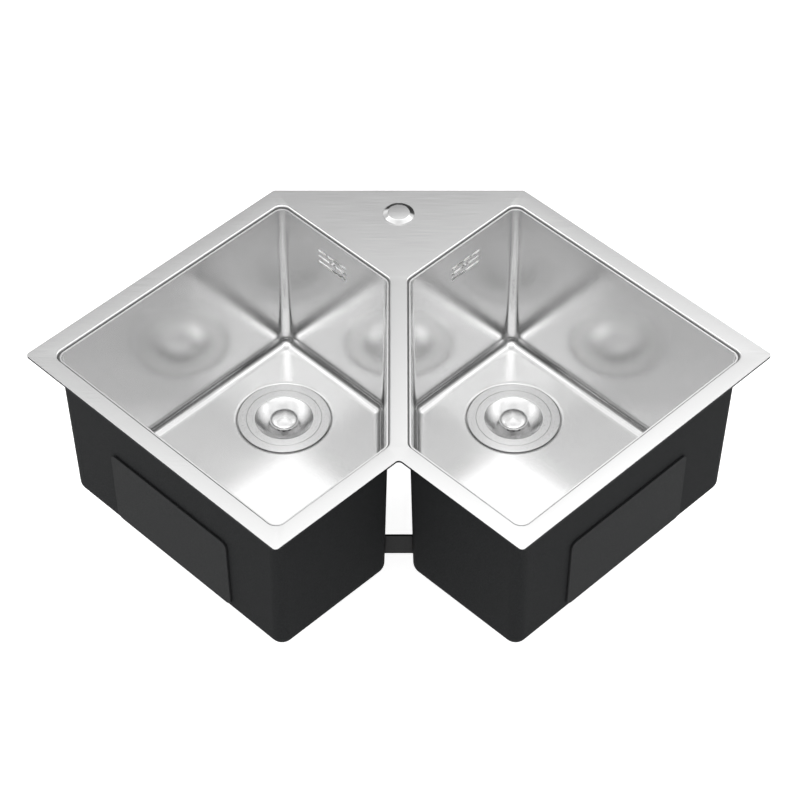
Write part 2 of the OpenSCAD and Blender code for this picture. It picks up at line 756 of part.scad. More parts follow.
module screw_insert() {
    hole_r = screw_d / 2 + press_play;
    color("goldenrod") at_drain() translate([0, 0, hub_z - hub_h]) difference() {
        cylinder(insert_h - press_play, insert_r, insert_r, $fn = 6);
        translate([0, 0, -overrun])
            cylinder(insert_h + overrun, hole_r, hole_r, $fn = small_fn);
    }
}

module stem_clip() {
    color("silver") at_drain() translate([0, 0, clip_z]) rotate([0, 0, clip_gap_angle / 2])
        rotate_extrude(angle = 360 - clip_gap_angle, $fn = small_fn)
            translate([clip_r, 0]) circle(clip_wire_d / 2, $fn = wire_fn);
}

module basket() {
    mouth_r = dish_mouth_d / 2;
    foot_r = dish_floor_d / 2;
    top = flange_top;
    low = flange_top - dish_depth;
    sweep = [for (i = [0:arc_steps * 2]) 90 * i / (arc_steps * 2)];
    hole_r = stem_r + stem_play;
    guide_r = hole_r + basket_t * 2;
    color("silver") at_drain() difference() {
        rotate_extrude($fn = turned_fn) polygon(concat(
            [[basket_r, top - basket_t], [basket_r, top]],
            [for (a = sweep) [foot_r + (mouth_r - foot_r) * cos(a), top - dish_depth * sin(a)]],
            [[hole_r, low], [hole_r, low - basket_t - guide_l], [guide_r, low - basket_t - guide_l],
             [guide_r, low - basket_t]],
            [for (i = [0:arc_steps * 2]) let (a = 90 - sweep[i])
                [foot_r + (mouth_r + basket_t - foot_r) * cos(a), top - (dish_depth + basket_t) * sin(a)
                    - basket_t * (1 - sin(a))]]
        ));
        for (i = [1:basket_holes])
            rotate([0, 0, 360 * i / basket_holes]) translate([basket_circle_r, 0, low - basket_t - overrun])
                cylinder(basket_t + overrun * 2, basket_hole_d / 2, basket_hole_d / 2, $fn = small_fn);
    }
}

module plunger() {
    r = knob_d / 2;
    dome_h = knob_h - knob_rim_h;
    sweep = [for (i = [0:arc_steps]) 90 * i / arc_steps];
    top = stopper_z + stopper_t;
    neck = clip_wire_d / 2 + edge_break / 2;
    neck_r = tip_r - edge_break / 2 - stem_play;
    tip_z = clip_z - plunger_travel - clip_wire_d * 2;
    color("silver") at_drain() rotate_extrude($fn = turned_fn) polygon(concat(
        [for (a = sweep) [r * sin(a), knob_rim_z + knob_rim_h + dome_h * cos(a)]],
        [[r, knob_rim_z], [r - knob_t, knob_rim_z]],
        [for (i = [0:arc_steps]) let (a = 90 - sweep[i] * (1 - stem_r / r))
            [(r - knob_t) * sin(a), knob_rim_z + knob_rim_h + (dome_h - knob_t) * cos(a)]],
        [[stem_r, knob_rim_z + knob_rim_h], [stem_r, top + shoulder_h], [shoulder_d / 2, top + shoulder_h],
         [shoulder_d / 2, top], [tip_r, top]],
        [for (z = [clip_z, clip_z - plunger_travel]) each
            [[tip_r, z + neck], [neck_r, z + neck / 2], [neck_r, z - neck / 2], [tip_r, z - neck]]],
        [[tip_r, tip_z + edge_break], [tip_r - edge_break, tip_z], [0, tip_z]]
    ));
}

module stopper() {
    r = stopper_d / 2;
    recess_r = screw_head_d / 2 + overrun;
    recess_h = screw_head_h + edge_break;
    color("black") at_drain() rotate_extrude($fn = turned_fn) polygon([
        [recess_r, stopper_z], [r - edge_break, stopper_z], [r, stopper_z + edge_break],
        [r, stopper_z + stopper_t - edge_break * 2], [r - edge_break * 2, stopper_z + stopper_t],
        [tip_r + press_play, stopper_z + stopper_t], [tip_r + press_play, stopper_z + recess_h],
        [recess_r, stopper_z + recess_h]
    ]);
}

deck();
seal_strip();
bowl_brace();
bowl();  // right_bowl
mirror([1, 0, 0]) bowl();  // left_bowl
sound_coat();  // right_sound_coat
mirror([1, 0, 0]) sound_coat();  // left_sound_coat
front_pad();  // right_front_pad
mirror([1, 0, 0]) front_pad();  // left_front_pad
floor_pad();  // right_floor_pad
mirror([1, 0, 0]) floor_pad();  // left_floor_pad
tap_hole_cover();
tap_cover_seal();
tap_cover_washer();
tap_cover_wing_nut();
overflow_housing();  // right_overflow_housing
mirror([1, 0, 0]) overflow_housing();  // left_overflow_housing
overflow_seal();  // right_overflow_seal
mirror([1, 0, 0]) overflow_seal();  // left_overflow_seal
overflow_screw();  // right_overflow_screw
mirror([1, 0, 0]) overflow_screw();  // left_overflow_screw
strainer_body();  // right_strainer_body
mirror([1, 0, 0]) strainer_body();  // left_strainer_body
flange_seal();  // right_flange_seal
mirror([1, 0, 0]) flange_seal();  // left_flange_seal
sink_gasket();  // right_sink_gasket
mirror([1, 0, 0]) sink_gasket();  // left_sink_gasket
waste_housing();  // right_waste_housing
mirror([1, 0, 0]) waste_housing();  // left_waste_housing
centre_screw();  // right_centre_screw
mirror([1, 0, 0]) centre_screw();  // left_centre_screw
screw_insert();  // right_screw_insert
mirror([1, 0, 0]) screw_insert();  // left_screw_insert
stem_clip();  // right_stem_clip
mirror([1, 0, 0]) stem_clip();  // left_stem_clip
basket();  // right_basket
mirror([1, 0, 0]) basket();  // left_basket
plunger();  // right_plunger
mirror([1, 0, 0]) plunger();  // left_plunger
stopper();  // right_stopper
mirror([1, 0, 0]) stopper();  // left_stopper
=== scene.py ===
import json
import math

import bmesh
import bpy
from mathutils import Matrix, Vector


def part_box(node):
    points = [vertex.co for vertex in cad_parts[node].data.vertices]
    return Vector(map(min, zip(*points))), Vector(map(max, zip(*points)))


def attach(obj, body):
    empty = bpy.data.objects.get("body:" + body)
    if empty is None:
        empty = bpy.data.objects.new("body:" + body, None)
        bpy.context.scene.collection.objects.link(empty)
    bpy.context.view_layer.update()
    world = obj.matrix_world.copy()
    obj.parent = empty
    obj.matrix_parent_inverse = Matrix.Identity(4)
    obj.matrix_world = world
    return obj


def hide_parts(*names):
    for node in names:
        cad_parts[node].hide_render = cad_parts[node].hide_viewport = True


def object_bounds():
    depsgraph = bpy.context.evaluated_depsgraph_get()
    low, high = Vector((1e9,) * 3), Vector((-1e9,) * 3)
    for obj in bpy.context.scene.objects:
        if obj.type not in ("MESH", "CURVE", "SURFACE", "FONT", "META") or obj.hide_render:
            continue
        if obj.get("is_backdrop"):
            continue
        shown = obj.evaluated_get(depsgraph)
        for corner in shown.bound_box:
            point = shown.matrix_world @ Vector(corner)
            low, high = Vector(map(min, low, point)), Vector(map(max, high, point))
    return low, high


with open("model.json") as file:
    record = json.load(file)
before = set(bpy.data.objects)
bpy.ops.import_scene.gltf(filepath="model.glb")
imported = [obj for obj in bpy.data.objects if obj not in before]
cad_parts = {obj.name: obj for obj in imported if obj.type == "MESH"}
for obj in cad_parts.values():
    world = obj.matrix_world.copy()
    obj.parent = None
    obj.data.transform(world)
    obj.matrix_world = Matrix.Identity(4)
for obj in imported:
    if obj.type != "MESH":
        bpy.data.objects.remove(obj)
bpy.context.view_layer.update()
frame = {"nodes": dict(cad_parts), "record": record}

# Sizes, in metres. X runs to the right bowl, Y to the back edge, Z up; the worktop plane is z = 0.
MM = 0.001
ROOT2 = math.sqrt(2)

# Deck and bowls
DECK_W = 860 * MM
BACK_EDGE = 304 * MM
FRONT_EDGE = 419 * MM
DECK_CORNER_R = 5 * MM
DECK_EDGE_R = 0.3 * MM
SIDE_RIM = 24 * MM
FRONT_RIM = 22.5 * MM
NOTCH_RIM = 23 * MM
DIVIDER_W = 22 * MM
OPENING_R = 12 * MM
OPENING_EDGE_R = 1.8 * MM
BOWL_ACROSS = 362 * MM
BOWL_LEDGE = 3 * MM
BOWL_CORNER_R = 11 * MM
BOWL_EDGE_R = 0.2 * MM
# Width of the band of painted shade on the bowl's rim next to the deck
SHADE_BAND_W = 1.1 * MM
FLOOR_R = 14 * MM
SHEET_T = 1 * MM
COAT_T = 0.8 * MM
WELD_FLANGE_W = 5 * MM
WALL_LEAN = math.radians(1.25)
TAP_HOLE_R = 16 * MM

# Strainer seat, pressed into the bowl's floor
SEAT_R = 59 * MM
SEAT_LIP_R = 57.6 * MM
SEAT_DEPTH = 3 * MM
SEAT_FOLD_W = 4.5 * MM
SEAT_FOLD_H = 2.6 * MM
FLOOR_HOLE_R = 45.9 * MM

# Strainer flange and cup, with heights from the bowl's floor
FLANGE_R = 57 * MM
FLANGE_TOP = -0.2 * MM
FLANGE_LOW = -2.2 * MM
LAND_R = 46.5 * MM
LAND_Z = -1.2 * MM
CUP_R = 43.8 * MM
CUP_T = 0.9 * MM
CUP_DEPTH = 38 * MM
CUP_BEND_R = 4 * MM
OUTLET_HOLE_R = 7 * MM
OUTLET_CIRCLE_R = 18.5 * MM
OUTLET_HOLES = 6
SCREW_HOLE_R = 5.05 * MM
STRAINER_EDGE_R = 0.8 * MM

# Basket, and the plunger that slides in it
BASKET_R = 46.2 * MM
BASKET_T = 0.8 * MM
MOUTH_R = 35.5 * MM
MOUTH_EDGE_R = 0.9 * MM
DISH_FLOOR_R = 8 * MM
DISH_DEPTH = 10 * MM
BASKET_HOLE_R = 1.8 * MM
BASKET_CIRCLE_R = 13 * MM
BASKET_HOLES = 12
GUIDE_L = 6 * MM
STEM_R = 3 * MM
STEM_PLAY = 0.05 * MM
KNOB_R = 17.8 * MM
KNOB_TOP = 3 * MM
KNOB_H = 7.3 * MM
KNOB_RIM_H = 1 * MM
KNOB_T = 1.4 * MM
CLIP_Z = -38.5 * MM
CLIP_WIRE_R = 0.5 * MM
PLUNGER_TRAVEL = 8 * MM
STOPPER_TOP = -31.8 * MM
SHOULDER_R = 6 * MM
SHOULDER_H = 1.5 * MM
STEM_TIP_Z = -48.5 * MM

# Tap-hole cover and its stud, with heights from the deck's top
COVER_R = 18.8 * MM
COVER_TOP_R = 13 * MM
COVER_H = 3.3 * MM
COVER_RIM_H = 1.1 * MM
COVER_EDGE_R = 0.5 * MM
COVER_LIP_W = 1 * MM
COVER_SEAL_T = 1 * MM
STUD_R = 4 * MM
STUD_LOW = -25 * MM
STUD_PITCH = 1.25 * MM
STUD_RIDGE = 0.35 * MM

# Threaded tail of the waste, G 1 1/2
TAIL_R = 23.7 * MM
TAIL_L = 30 * MM
TAIL_PITCH = 2.309 * MM
TAIL_RIDGE = 0.7 * MM

# Overflow slots, and the window for their box in the coat
SLOT_FIELD_W = 48 * MM
SLOT_H = 4.4 * MM
SLOT_PITCH = 8.6 * MM
SLOT_BRIDGE = 1.8 * MM
SLOT_SHORT_SHARE = 0.3
OVERFLOW_SCREW_R = 3 * MM
OVERFLOW_DROP = 40 * MM
SCREW_WAY_R = 2.05 * MM
WINDOW_W = 62.6 * MM
WINDOW_H = 36.6 * MM
WINDOW_R = 2 * MM

# Play between pieces, broken edges, and the roundings of pieces taken over from the frame
LOOSE_PLAY = 0.3 * MM
PRESS_PLAY = 0.05 * MM
EDGE_BREAK = 0.5 * MM
PAD_EDGE_R = 0.7 * MM
BRACE_EDGE_R = 0.4 * MM
STRIP_EDGE_R = 0.25 * MM
SHELL_EDGE_R = 0.4 * MM
SCREW_EDGE_R = 0.3 * MM
NUT_EDGE_R = 0.5 * MM
WASHER_EDGE_R = 0.3 * MM

# Steps that round a turned piece, a corner in plan, and the profiles from the largest curve to the smallest
TURNED_STEPS = 128
CORNER_STEPS = 12
CURVE_STEPS = 24
FILLET_STEPS = 14
BEND_STEPS = 10
LIP_STEPS = 6
EDGE_STEPS = 4
SOFT_STEPS = 3
DRILL_STEPS = 40
THREAD_STEPS = 64
RIDGE_SIDES = 4

# Limits by which meshes are joined, flattened, rounded and shaded
WELD_GAP = 1e-7
FLUSH = 1e-6
FLAT_ANGLE = math.radians(0.5)
SHARP_ANGLE = math.radians(40)
SMOOTH_ANGLE = math.radians(32)
LEVEL_FACE = 0.99

# Range that holds most of a noise's values
NOISE_LOW, NOISE_HIGH = 0.3, 0.7

# Soft light of the room: its level by elevation in degrees on each side, and the floor's own glow
ROOM_HEIGHTS = [0, 8, 16, 24, 32, 38, 42, 45, 48, 52, 60, 75, 90]
ROOM = {
    "back left": [0.05, 0.05, 0.00, 1.22, 1.22, 0.16, 0.00, 0.31, 1.39, 2.17, 1.88, 1.20, 0.90],
    "back right": [0.05, 0.05, 0.00, 0.00, 0.00, 0.29, 0.16, 1.40, 2.51, 2.83, 2.06, 1.20, 0.90],
    "right": [0.87, 0.87, 0.40, 0.30, 0.30, 1.87, 1.87, 0.71, 0.71, 1.57, 1.03, 1.20, 0.90],
    "left": [0.86, 0.86, 0.40, 0.30, 0.30, 1.67, 1.67, 0.71, 0.71, 1.67, 0.98, 1.20, 0.90],
    "front": [0.90, 0.90, 0.90, 0.70, 0.70, 1.58, 1.58, 1.58, 1.58, 4.11, 1.46, 1.20, 0.90],
}
ROOM_PEAK = 6.0
ROOM_BLEND = 0.25
STEEPEST = 1e-6
FLOOR_REACH = 40
FLOOR_GLOW = 0.85

# Camera, fitted to the sink's edges in the photograph
CAMERA_LENS = 136.31
CAMERA_SENSOR = 36
CAMERA_SHIFT = 0.00145
CAMERA_REACH = 100
CAMERA_PLACE = (0, -2.4189, 2.5058)
CAMERA_TILT = math.radians(43.29)

# Levels and places, from the frame
deck_low, deck_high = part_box("deck")
DECK_BOTTOM, DECK_TOP = deck_low.z, deck_high.z
FLOOR_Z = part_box("right_bowl")[0].z + SEAT_DEPTH + SHEET_T
BALL_Z = FLOOR_Z + FLOOR_R
MOUNTS = {mount["name"]: mount for mount in frame["record"]["mounts"]}
DRAIN = Vector((*MOUNTS["right_waste_outlet"]["pos_m"][:2], FLOOR_Z))
TAP_HOLE = Vector(MOUNTS["tap_hole"]["pos_m"])

# Plan of the deck: sums x+y of the edges that fall to the right, differences x-y of the others
HALF_W = DECK_W / 2
TIP_RUN = FRONT_EDGE / ROOT2
DECK_L = HALF_W - BACK_EDGE / 2 + TIP_RUN
SIDE_Y = DECK_L / 2 - (HALF_W - BACK_EDGE / 2)
TIP = Vector((HALF_W - TIP_RUN, -DECK_L / 2))
SIDE_SUM = HALF_W + SIDE_Y - SIDE_RIM * ROOT2
NOTCH_SUM = TIP.x + TIP.y + NOTCH_RIM * ROOT2
FRONT_DIFF = HALF_W - SIDE_Y - FRONT_RIM * ROOT2
INNER_DIFF = FRONT_DIFF - BOWL_ACROSS * ROOT2


# Outlines in plan

def crossing(total, gap):
    """Point where x+y = total crosses x-y = gap."""
    return Vector(((total + gap) / 2, (total - gap) / 2))


def wall_inset(z):
    """Inset of a bowl's inner wall from the opening's edge, at a height."""
    return BOWL_LEDGE + (DECK_BOTTOM - z) * math.tan(WALL_LEAN)


def opening_points(inset):
    """Corners of the right opening, drawn in by an inset."""
    x0 = DIVIDER_W / 2 + inset
    near, far = NOTCH_SUM + inset * ROOT2, SIDE_SUM - inset * ROOT2
    front, back = FRONT_DIFF - inset * ROOT2, INNER_DIFF + inset * ROOT2
    return [Vector((x0, near - x0)), crossing(near, front), crossing(far, front), crossing(far, back),
            Vector((x0, x0 - back))]


def deck_points(inset):
    """Corners of the deck, drawn in by an inset."""
    notch = TIP.x + TIP.y + inset * ROOT2
    tip = crossing(notch, HALF_W - SIDE_Y - inset * ROOT2)
    side_x = HALF_W - inset * ROOT2
    back_y = DECK_L / 2 - inset
    back_x = HALF_W + SIDE_Y - inset * ROOT2 - back_y
    half = [tip, Vector((side_x, SIDE_Y)), Vector((back_x, back_y))]
    return [Vector((0, notch))] + half + [Vector((-p.x, p.y)) for p in reversed(half)]


def corner_arc(before, corner, after, radius, steps):
    """Points that round one corner of an outline."""
    u, v = (before - corner).normalized(), (after - corner).normalized()
    half = u.angle(v) / 2
    centre = corner + (u + v).normalized() * radius / math.sin(half)
    start = corner + u * radius / math.tan(half) - centre
    end = corner + v * radius / math.tan(half) - centre
    turn = math.atan2(start.x * end.y - start.y * end.x, start.dot(end))
    return [centre + Matrix.Rotation(turn * i / steps, 2) @ start for i in range(steps + 1)]


def rounded(points, radius, steps=CORNER_STEPS):
    """An outline with its corners rounded, all alike or each by its own radius."""
    radii = radius if isinstance(radius, list) else [radius] * len(points)
    outline = []
    for i, r in enumerate(radii):
        if r:
            outline += corner_arc(points[i - 1], points[i], points[(i + 1) % len(points)], r, steps)
        else:
            outline.append(points[i])
    return outline


def circle(centre, radius, steps=TURNED_STEPS):
    """Points of a circle in plan."""
    return [Vector((centre.x + radius * math.cos(2 * math.pi * i / steps),
                    centre.y + radius * math.sin(2 * math.pi * i / steps))) for i in range(steps)]


# Meshes

def ring(mesh, outline, z):
    """Points of an outline at one height."""
    return [mesh.verts.new((p.x, p.y, z)) for p in outline]


def skin(mesh, rings):
    """Quads between neighbouring rings of equal count."""
    for low, high in zip(rings, rings[1:]):
        for i in range(len(low)):
            mesh.faces.new((low[i - 1], low[i], high[i], high[i - 1]))


def fill_level(mesh, z):
    """Fills the flat region between the open edges at one height."""
    edges = [e for e in mesh.edges if e.is_boundary and all(abs(v.co.z - z) < FLUSH for v in e.verts)]
    bmesh.ops.triangle_fill(mesh, use_beauty=True, use_dissolve=False, edges=edges)


def merged(mesh):
    """Joins the points that lie on one another."""
    bmesh.ops.remove_doubles(mesh, verts=mesh.verts, dist=WELD_GAP)
    return mesh


def lathe(profile, centre, steps=TURNED_STEPS):
    """A closed profile of (radius, height) points turned round a vertical axis."""
    mesh = bmesh.new()
    columns = []
    for i in range(steps):
        turn = 2 * math.pi * i / steps
        across, along = math.cos(turn), math.sin(turn)
        columns.append([mesh.verts.new((centre.x + p.x * across, centre.y + p.x * along, centre.z + p.y))
                        for p in profile])
    skin(mesh, columns + columns[:1])
    return merged(mesh)


def to_object(name, mesh):
    """Object of a finished mesh, with its faces pointing outwards."""
    bmesh.ops.recalc_face_normals(mesh, faces=mesh.faces)
    data = bpy.data.meshes.new(name)
    mesh.to_mesh(data)
    mesh.free()
    thing = bpy.data.objects.new(name, data)
    bpy.context.scene.collection.objects.link(thing)
    return thing


def applied(thing):
    """Turns an object with its modifiers into a plain mesh."""
    graph = bpy.context.evaluated_depsgraph_get()
    data = bpy.data.meshes.new_from_object(thing.evaluated_get(graph))
    thing.modifiers.clear()
    thing.data = data
    data.name = thing.name
    return thing


def shaded(thing):
    """Smooth shading that keeps flat faces flat and sharp edges sharp."""
    thing.data.polygons.foreach_set("use_smooth", [True] * len(thing.data.polygons))
    thing.data.set_sharp_from_angle(angle=SMOOTH_ANGLE)
    weighted = thing.modifiers.new("even", "WEIGHTED_NORMAL")
    weighted.keep_sharp = True
    return applied(thing)


def cut(thing, *cutters):
    """Takes cutter objects out of an object."""
    for cutter in cutters:
        hole = thing.modifiers.new("cut", "BOOLEAN")
        hole.operation = "DIFFERENCE"
        hole.solver = "EXACT"
        hole.object = cutter
    applied(thing)
    for cutter in cutters:
        bpy.data.objects.remove(cutter)
    return thing


def mirrored(thing, name):
    """Copy of a right-hand piece for the left."""
    mesh = bmesh.new()
    mesh.from_mesh(thing.data)
    bmesh.ops.transform(mesh, matrix=Matrix.Diagonal((-1, 1, 1, 1)), verts=mesh.verts)
    bmesh.ops.reverse_faces(mesh, faces=mesh.faces)
    data = bpy.data.meshes.new(name)
    mesh.to_mesh(data)
    mesh.free()
    copy = bpy.data.objects.new(name, data)
    bpy.context.scene.collection.objects.link(copy)
    return copy


def softened(node, name, radius):
    """Copy of a CAD node with its sharp edges rounded."""
    mesh = bmesh.new()
    mesh.from_mesh(frame["nodes"][node].data)
    merged(mesh)
    bmesh.ops.dissolve_limit(mesh, angle_limit=FLAT_ANGLE, verts=mesh.verts, edges=mesh.edges)
    thing = to_object(name, mesh)
    bevel = thing.modifiers.new("soft edges", "BEVEL")
    bevel.width = radius
    bevel.segments = SOFT_STEPS
    bevel.limit_method = "ANGLE"
    bevel.angle_limit = SHARP_ANGLE
    bevel.use_clamp_overlap = True
    return applied(thing)


def kept(thing, material, body, slot, *nodes):
    """Gives a finished piece its material, its body and the nodes it stands for."""
    thing.data.materials.clear()
    thing.data.materials.append(material)
    shaded(thing)
    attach(thing, body)
    if nodes:
        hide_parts(*nodes)
    return thing


def second_finish(thing, material, inner, outer):
    """Gives the level top faces of a turned piece another finish, between two radii."""
    thing.data.materials.append(material)
    low = [min(v.co[i] for v in thing.data.vertices) for i in range(2)]
    high = [max(v.co[i] for v in thing.data.vertices) for i in range(2)]
    axis = Vector(((low[0] + high[0]) / 2, (low[1] + high[1]) / 2))
    for face in thing.data.polygons:
        reach = (Vector(face.center.xy) - axis).length
        if face.normal.z > LEVEL_FACE and inner < reach < outer:
            face.material_index = len(thing.data.materials) - 1


def pair(thing, kind, material, slot, body=None, node=None):
    """Keeps a right-hand piece and its mirror copy on the left."""
    for side in ("left", "right"):
        each = mirrored(thing, f"left_{kind}") if side == "left" else thing
        nodes = [f"{side}_{node}"] if node else []
        kept(each, material, f"{side}_{body}" if body else "sink_body", slot, *nodes)


def arc(x, y, rx, ry, start, end, steps=EDGE_STEPS):
    """Points of an elliptical arc in a profile, from one angle to another in degrees."""
    turns = [math.radians(start + (end - start) * i / steps) for i in range(steps + 1)]
    return [Vector((x + rx * math.cos(a), y + ry * math.sin(a))) for a in turns]


def path(*parts):
    """One profile from points and runs of points."""
    points = []
    for part in parts:
        points += part if isinstance(part, list) else [Vector(part)]
    return points


# Nodes

def linear(code):
    """Linear colour of an sRGB hex value."""
    parts = [int(code[i:i + 2], 16) / 255 for i in (1, 3, 5)]
    return tuple(c / 12.92 if c <= 0.04045 else ((c + 0.055) / 1.055) ** 2.4 for c in parts) + (1.0,)


def add(tree, kind, sockets=None, **settings):
    """Adds a node with its settings, and sets or links its inputs."""
    node = tree.nodes.new(kind)
    for name, value in settings.items():
        setattr(node, name, value)
    for key, value in (sockets or {}).items():
        if isinstance(value, bpy.types.NodeSocket):
            tree.links.new(value, node.inputs[key])
        else:
            node.inputs[key].default_value = value
    return node


def noise(tree, size, detail=2.0):
    """Noise on object coordinates, whose grain has a real size along X, Y and Z."""
    place = add(tree, "ShaderNodeTexCoord").outputs["Object"]
    scaled = add(tree, "ShaderNodeMapping", {"Vector": place, "Scale": [1 / s for s in size]})
    grain = add(tree, "ShaderNodeTexNoise", {"Vector": scaled.outputs[0], "Scale": 1.0, "Detail": detail})
    return grain.outputs[0]


def shades(tree, value, dark, light, low=NOISE_LOW, high=NOISE_HIGH):
    """Colour between two shades, as a value goes from low to high."""
    ramp = add(tree, "ShaderNodeValToRGB", {"Fac": value})
    ends = ramp.color_ramp.elements
    ends[0].position, ends[1].position = low, high
    ends[0].color, ends[1].color = linear(dark), linear(light)
    return ramp.outputs[0]


def between(tree, value, low, high):
    """Number between two limits, as a noise goes over its middle range."""
    limits = {"Value": value, "From Min": NOISE_LOW, "From Max": NOISE_HIGH, "To Min": low, "To Max": high}
    return add(tree, "ShaderNodeMapRange", limits).outputs[0]


def relief(tree, height, depth):
    """Normal of a relief with a real depth."""
    return add(tree, "ShaderNodeBump", {"Height": height, "Distance": depth, "Strength": 1.0}).outputs[0]


def surface(name, **sockets):
    """New material with its shader, whose plain values are set on the shader's own sockets."""
    material = bpy.data.materials.new(name)
    material.use_nodes = True
    tree = material.node_tree
    tree.nodes.clear()
    shader = add(tree, "ShaderNodeBsdfPrincipled", {k.replace("_", " "): v for k, v in sockets.items()})
    add(tree, "ShaderNodeOutputMaterial", {"Surface": shader.outputs[0]})
    return material, tree, shader


def wire(tree, shader, **sockets):
    """Links values that change over the surface to the shader."""
    for key, value in sockets.items():
        tree.links.new(value, shader.inputs[key.replace("_", " ")])


# Materials. Each pattern has the size in millimetres of what it draws. A pixel of the picture is about 1.2 mm,
# so a real grain that is much finer is drawn about as coarse as a pixel, with its depth cut to suit.

def brushed_304_sheet():
    """Cold-rolled 304 sheet, belt-brushed from side to side: long faint streaks that spread the gloss."""
    material, tree, shader = surface("brushed 304 sheet", Metallic=1.0)
    # Belt lines are 0.1 mm apart and run on for centimetres; they are drawn 1.1 mm apart
    streaks = noise(tree, (55 * MM, 1.1 * MM, 1.1 * MM), 3.0)
    wire(tree, shader, Base_Color=shades(tree, streaks, "#CBCBCB", "#D1D1D1"),
         Roughness=between(tree, streaks, 0.21, 0.25), Normal=relief(tree, streaks, 0.0015 * MM))
    return material


def satin_304_bowl():
    """Pressed 304 bowl with a satin polish: soft wide reflections, a fine grain and faint cloudy patches."""
    material, tree, shader = surface("satin 304 bowl", Metallic=1.0)
    clouds = noise(tree, [70 * MM] * 3)
    # Polishing grain is about 0.1 mm; it is drawn at 1.3 mm
    grain = noise(tree, [1.3 * MM] * 3)
    wire(tree, shader, Base_Color=shades(tree, grain, "#D8D8D8", "#E0E0E0"),
         Roughness=between(tree, clouds, 0.18, 0.22), Normal=relief(tree, grain, 0.002 * MM))
    return material


def rim_shade_band():
    """Band on the bowl's rim next to the deck: dull dark grey, painted shade of the gap under the deck's edge.
    """
    material, tree, shader = surface("welded 304 seam", Metallic=1.0)
    tint = noise(tree, [5 * MM] * 3, 3.0)
    wire(tree, shader, Base_Color=shades(tree, tint, "#707070", "#828282"),
         Roughness=between(tree, tint, 0.5, 0.6))
    return material


def deck_side_shade():
    """Outer side face of the deck: nearly black and dull as painted shade, with fine upright striae."""
    material, tree, shader = surface("laser-cut 304 edge", Metallic=1.0)
    # Striae of the cut are about 0.2 mm apart; they are drawn 1.2 mm apart
    striae = noise(tree, (1.2 * MM, 1.2 * MM, 8 * MM), 3.0)
    wire(tree, shader, Base_Color=shades(tree, striae, "#17181A", "#232426"),
         Roughness=between(tree, striae, 0.5, 0.62))
    return material


def satin_strainer_steel():
    """Strainer flange, turned and satin finished: a close matt grain, a little greyer than the bowl."""
    material, tree, shader = surface("satin strainer steel", Metallic=1.0)
    # Satin grain is about 0.1 mm; it is drawn at 0.9 mm
    grain = noise(tree, [0.9 * MM] * 3)
    wire(tree, shader, Base_Color=shades(tree, grain, "#D5D5D5", "#DDDDDD"),
         Roughness=between(tree, grain, 0.26, 0.34), Normal=relief(tree, grain, 0.004 * MM))
    return material


def polished_304():
    """Mirror-polished 304: clear bright and black reflections, dulled a little by faint wipe marks."""
    material, tree, shader = surface("polished 304", Metallic=1.0)
    wipes = noise(tree, [9 * MM] * 3, 4.0)
    wire(tree, shader, Base_Color=shades(tree, wipes, "#E0E0E0", "#E8E8E8"),
         Roughness=between(tree, wipes, 0.07, 0.12))
    return material


def buffed_304():
    """Buffed 304 of basket and knob: bright and dark reflections with soft borders, and faint wipe marks."""
    material, tree, shader = surface("buffed 304", Metallic=1.0)
    wipes = noise(tree, [9 * MM] * 3, 4.0)
    wire(tree, shader, Base_Color=shades(tree, wipes, "#E0E0E0", "#E8E8E8"),
         Roughness=between(tree, wipes, 0.21, 0.27))
    return material


def sprayed_bitumen_coat():
    """Sprayed damping coat on the bowls: matt near-black with a fine pebbled speckle."""
    material, tree, shader = surface("sprayed bitumen coat", Specular_IOR_Level=0.15)
    # Sprayed droplets are 0.5 to 2 mm
    specks = noise(tree, [1.6 * MM] * 3, 4.0)
    wire(tree, shader, Base_Color=shades(tree, specks, "#18191A", "#272829", 0.35, 0.7),
         Roughness=between(tree, specks, 0.78, 0.92), Normal=relief(tree, specks, 0.35 * MM))
    return material


def moulded_rubber_pad():
    """Dense rubber damping sheet: dark grey and matt, smoother than the coat round it."""
    material, tree, shader = surface("moulded rubber pad", Specular_IOR_Level=0.2)
    grain = noise(tree, [1.8 * MM] * 3, 3.0)
    wire(tree, shader, Base_Color=shades(tree, grain, "#161718", "#1D1E1F"),
         Roughness=between(tree, grain, 0.68, 0.8), Normal=relief(tree, grain, 0.12 * MM))
    return material


def closed_cell_foam():
    """Closed-cell polyethylene foam tape: mid grey, matt, with small pores."""
    material, tree, shader = surface("closed-cell foam", Roughness=0.9)
    pores = noise(tree, [1.2 * MM] * 3, 3.0)
    wire(tree, shader, Base_Color=shades(tree, pores, "#505153", "#77787A", 0.35, 0.6),
         Normal=relief(tree, pores, 0.2 * MM))
    return material


def black_nitrile_rubber():
    """Pressed nitrile rubber of seals and stopper: black with a dull sheen and a faint bloom."""
    material, tree, shader = surface("black nitrile rubber")
    bloom = noise(tree, [6 * MM] * 3, 3.0)
    wire(tree, shader, Base_Color=shades(tree, bloom, "#161617", "#222223", 0.35, 0.7),
         Roughness=between(tree, bloom, 0.5, 0.66))
    return material


def powder_coated_bar():
    """Powder-coated steel bar: black, half matt, with the fine orange-peel of the coat."""
    material, tree, shader = surface("powder-coated bar", Specular_IOR_Level=0.2)
    peel = noise(tree, [2.2 * MM] * 3)
    wire(tree, shader, Base_Color=shades(tree, peel, "#070708", "#0E0E0F"),
         Roughness=between(tree, peel, 0.45, 0.58), Normal=relief(tree, peel, 0.04 * MM))
    return material


def frosted_polypropylene():
    """Thin natural polypropylene of the overflow box: frosted, so the light behind it shows in the slots."""
    material, tree, shader = surface("frosted polypropylene", Transmission_Weight=0.8, IOR=1.49)
    flow = noise(tree, [14 * MM] * 3)
    wire(tree, shader, Base_Color=shades(tree, flow, "#FBFBFA", "#FEFEFE"),
         Roughness=between(tree, flow, 0.55, 0.65))
    return material


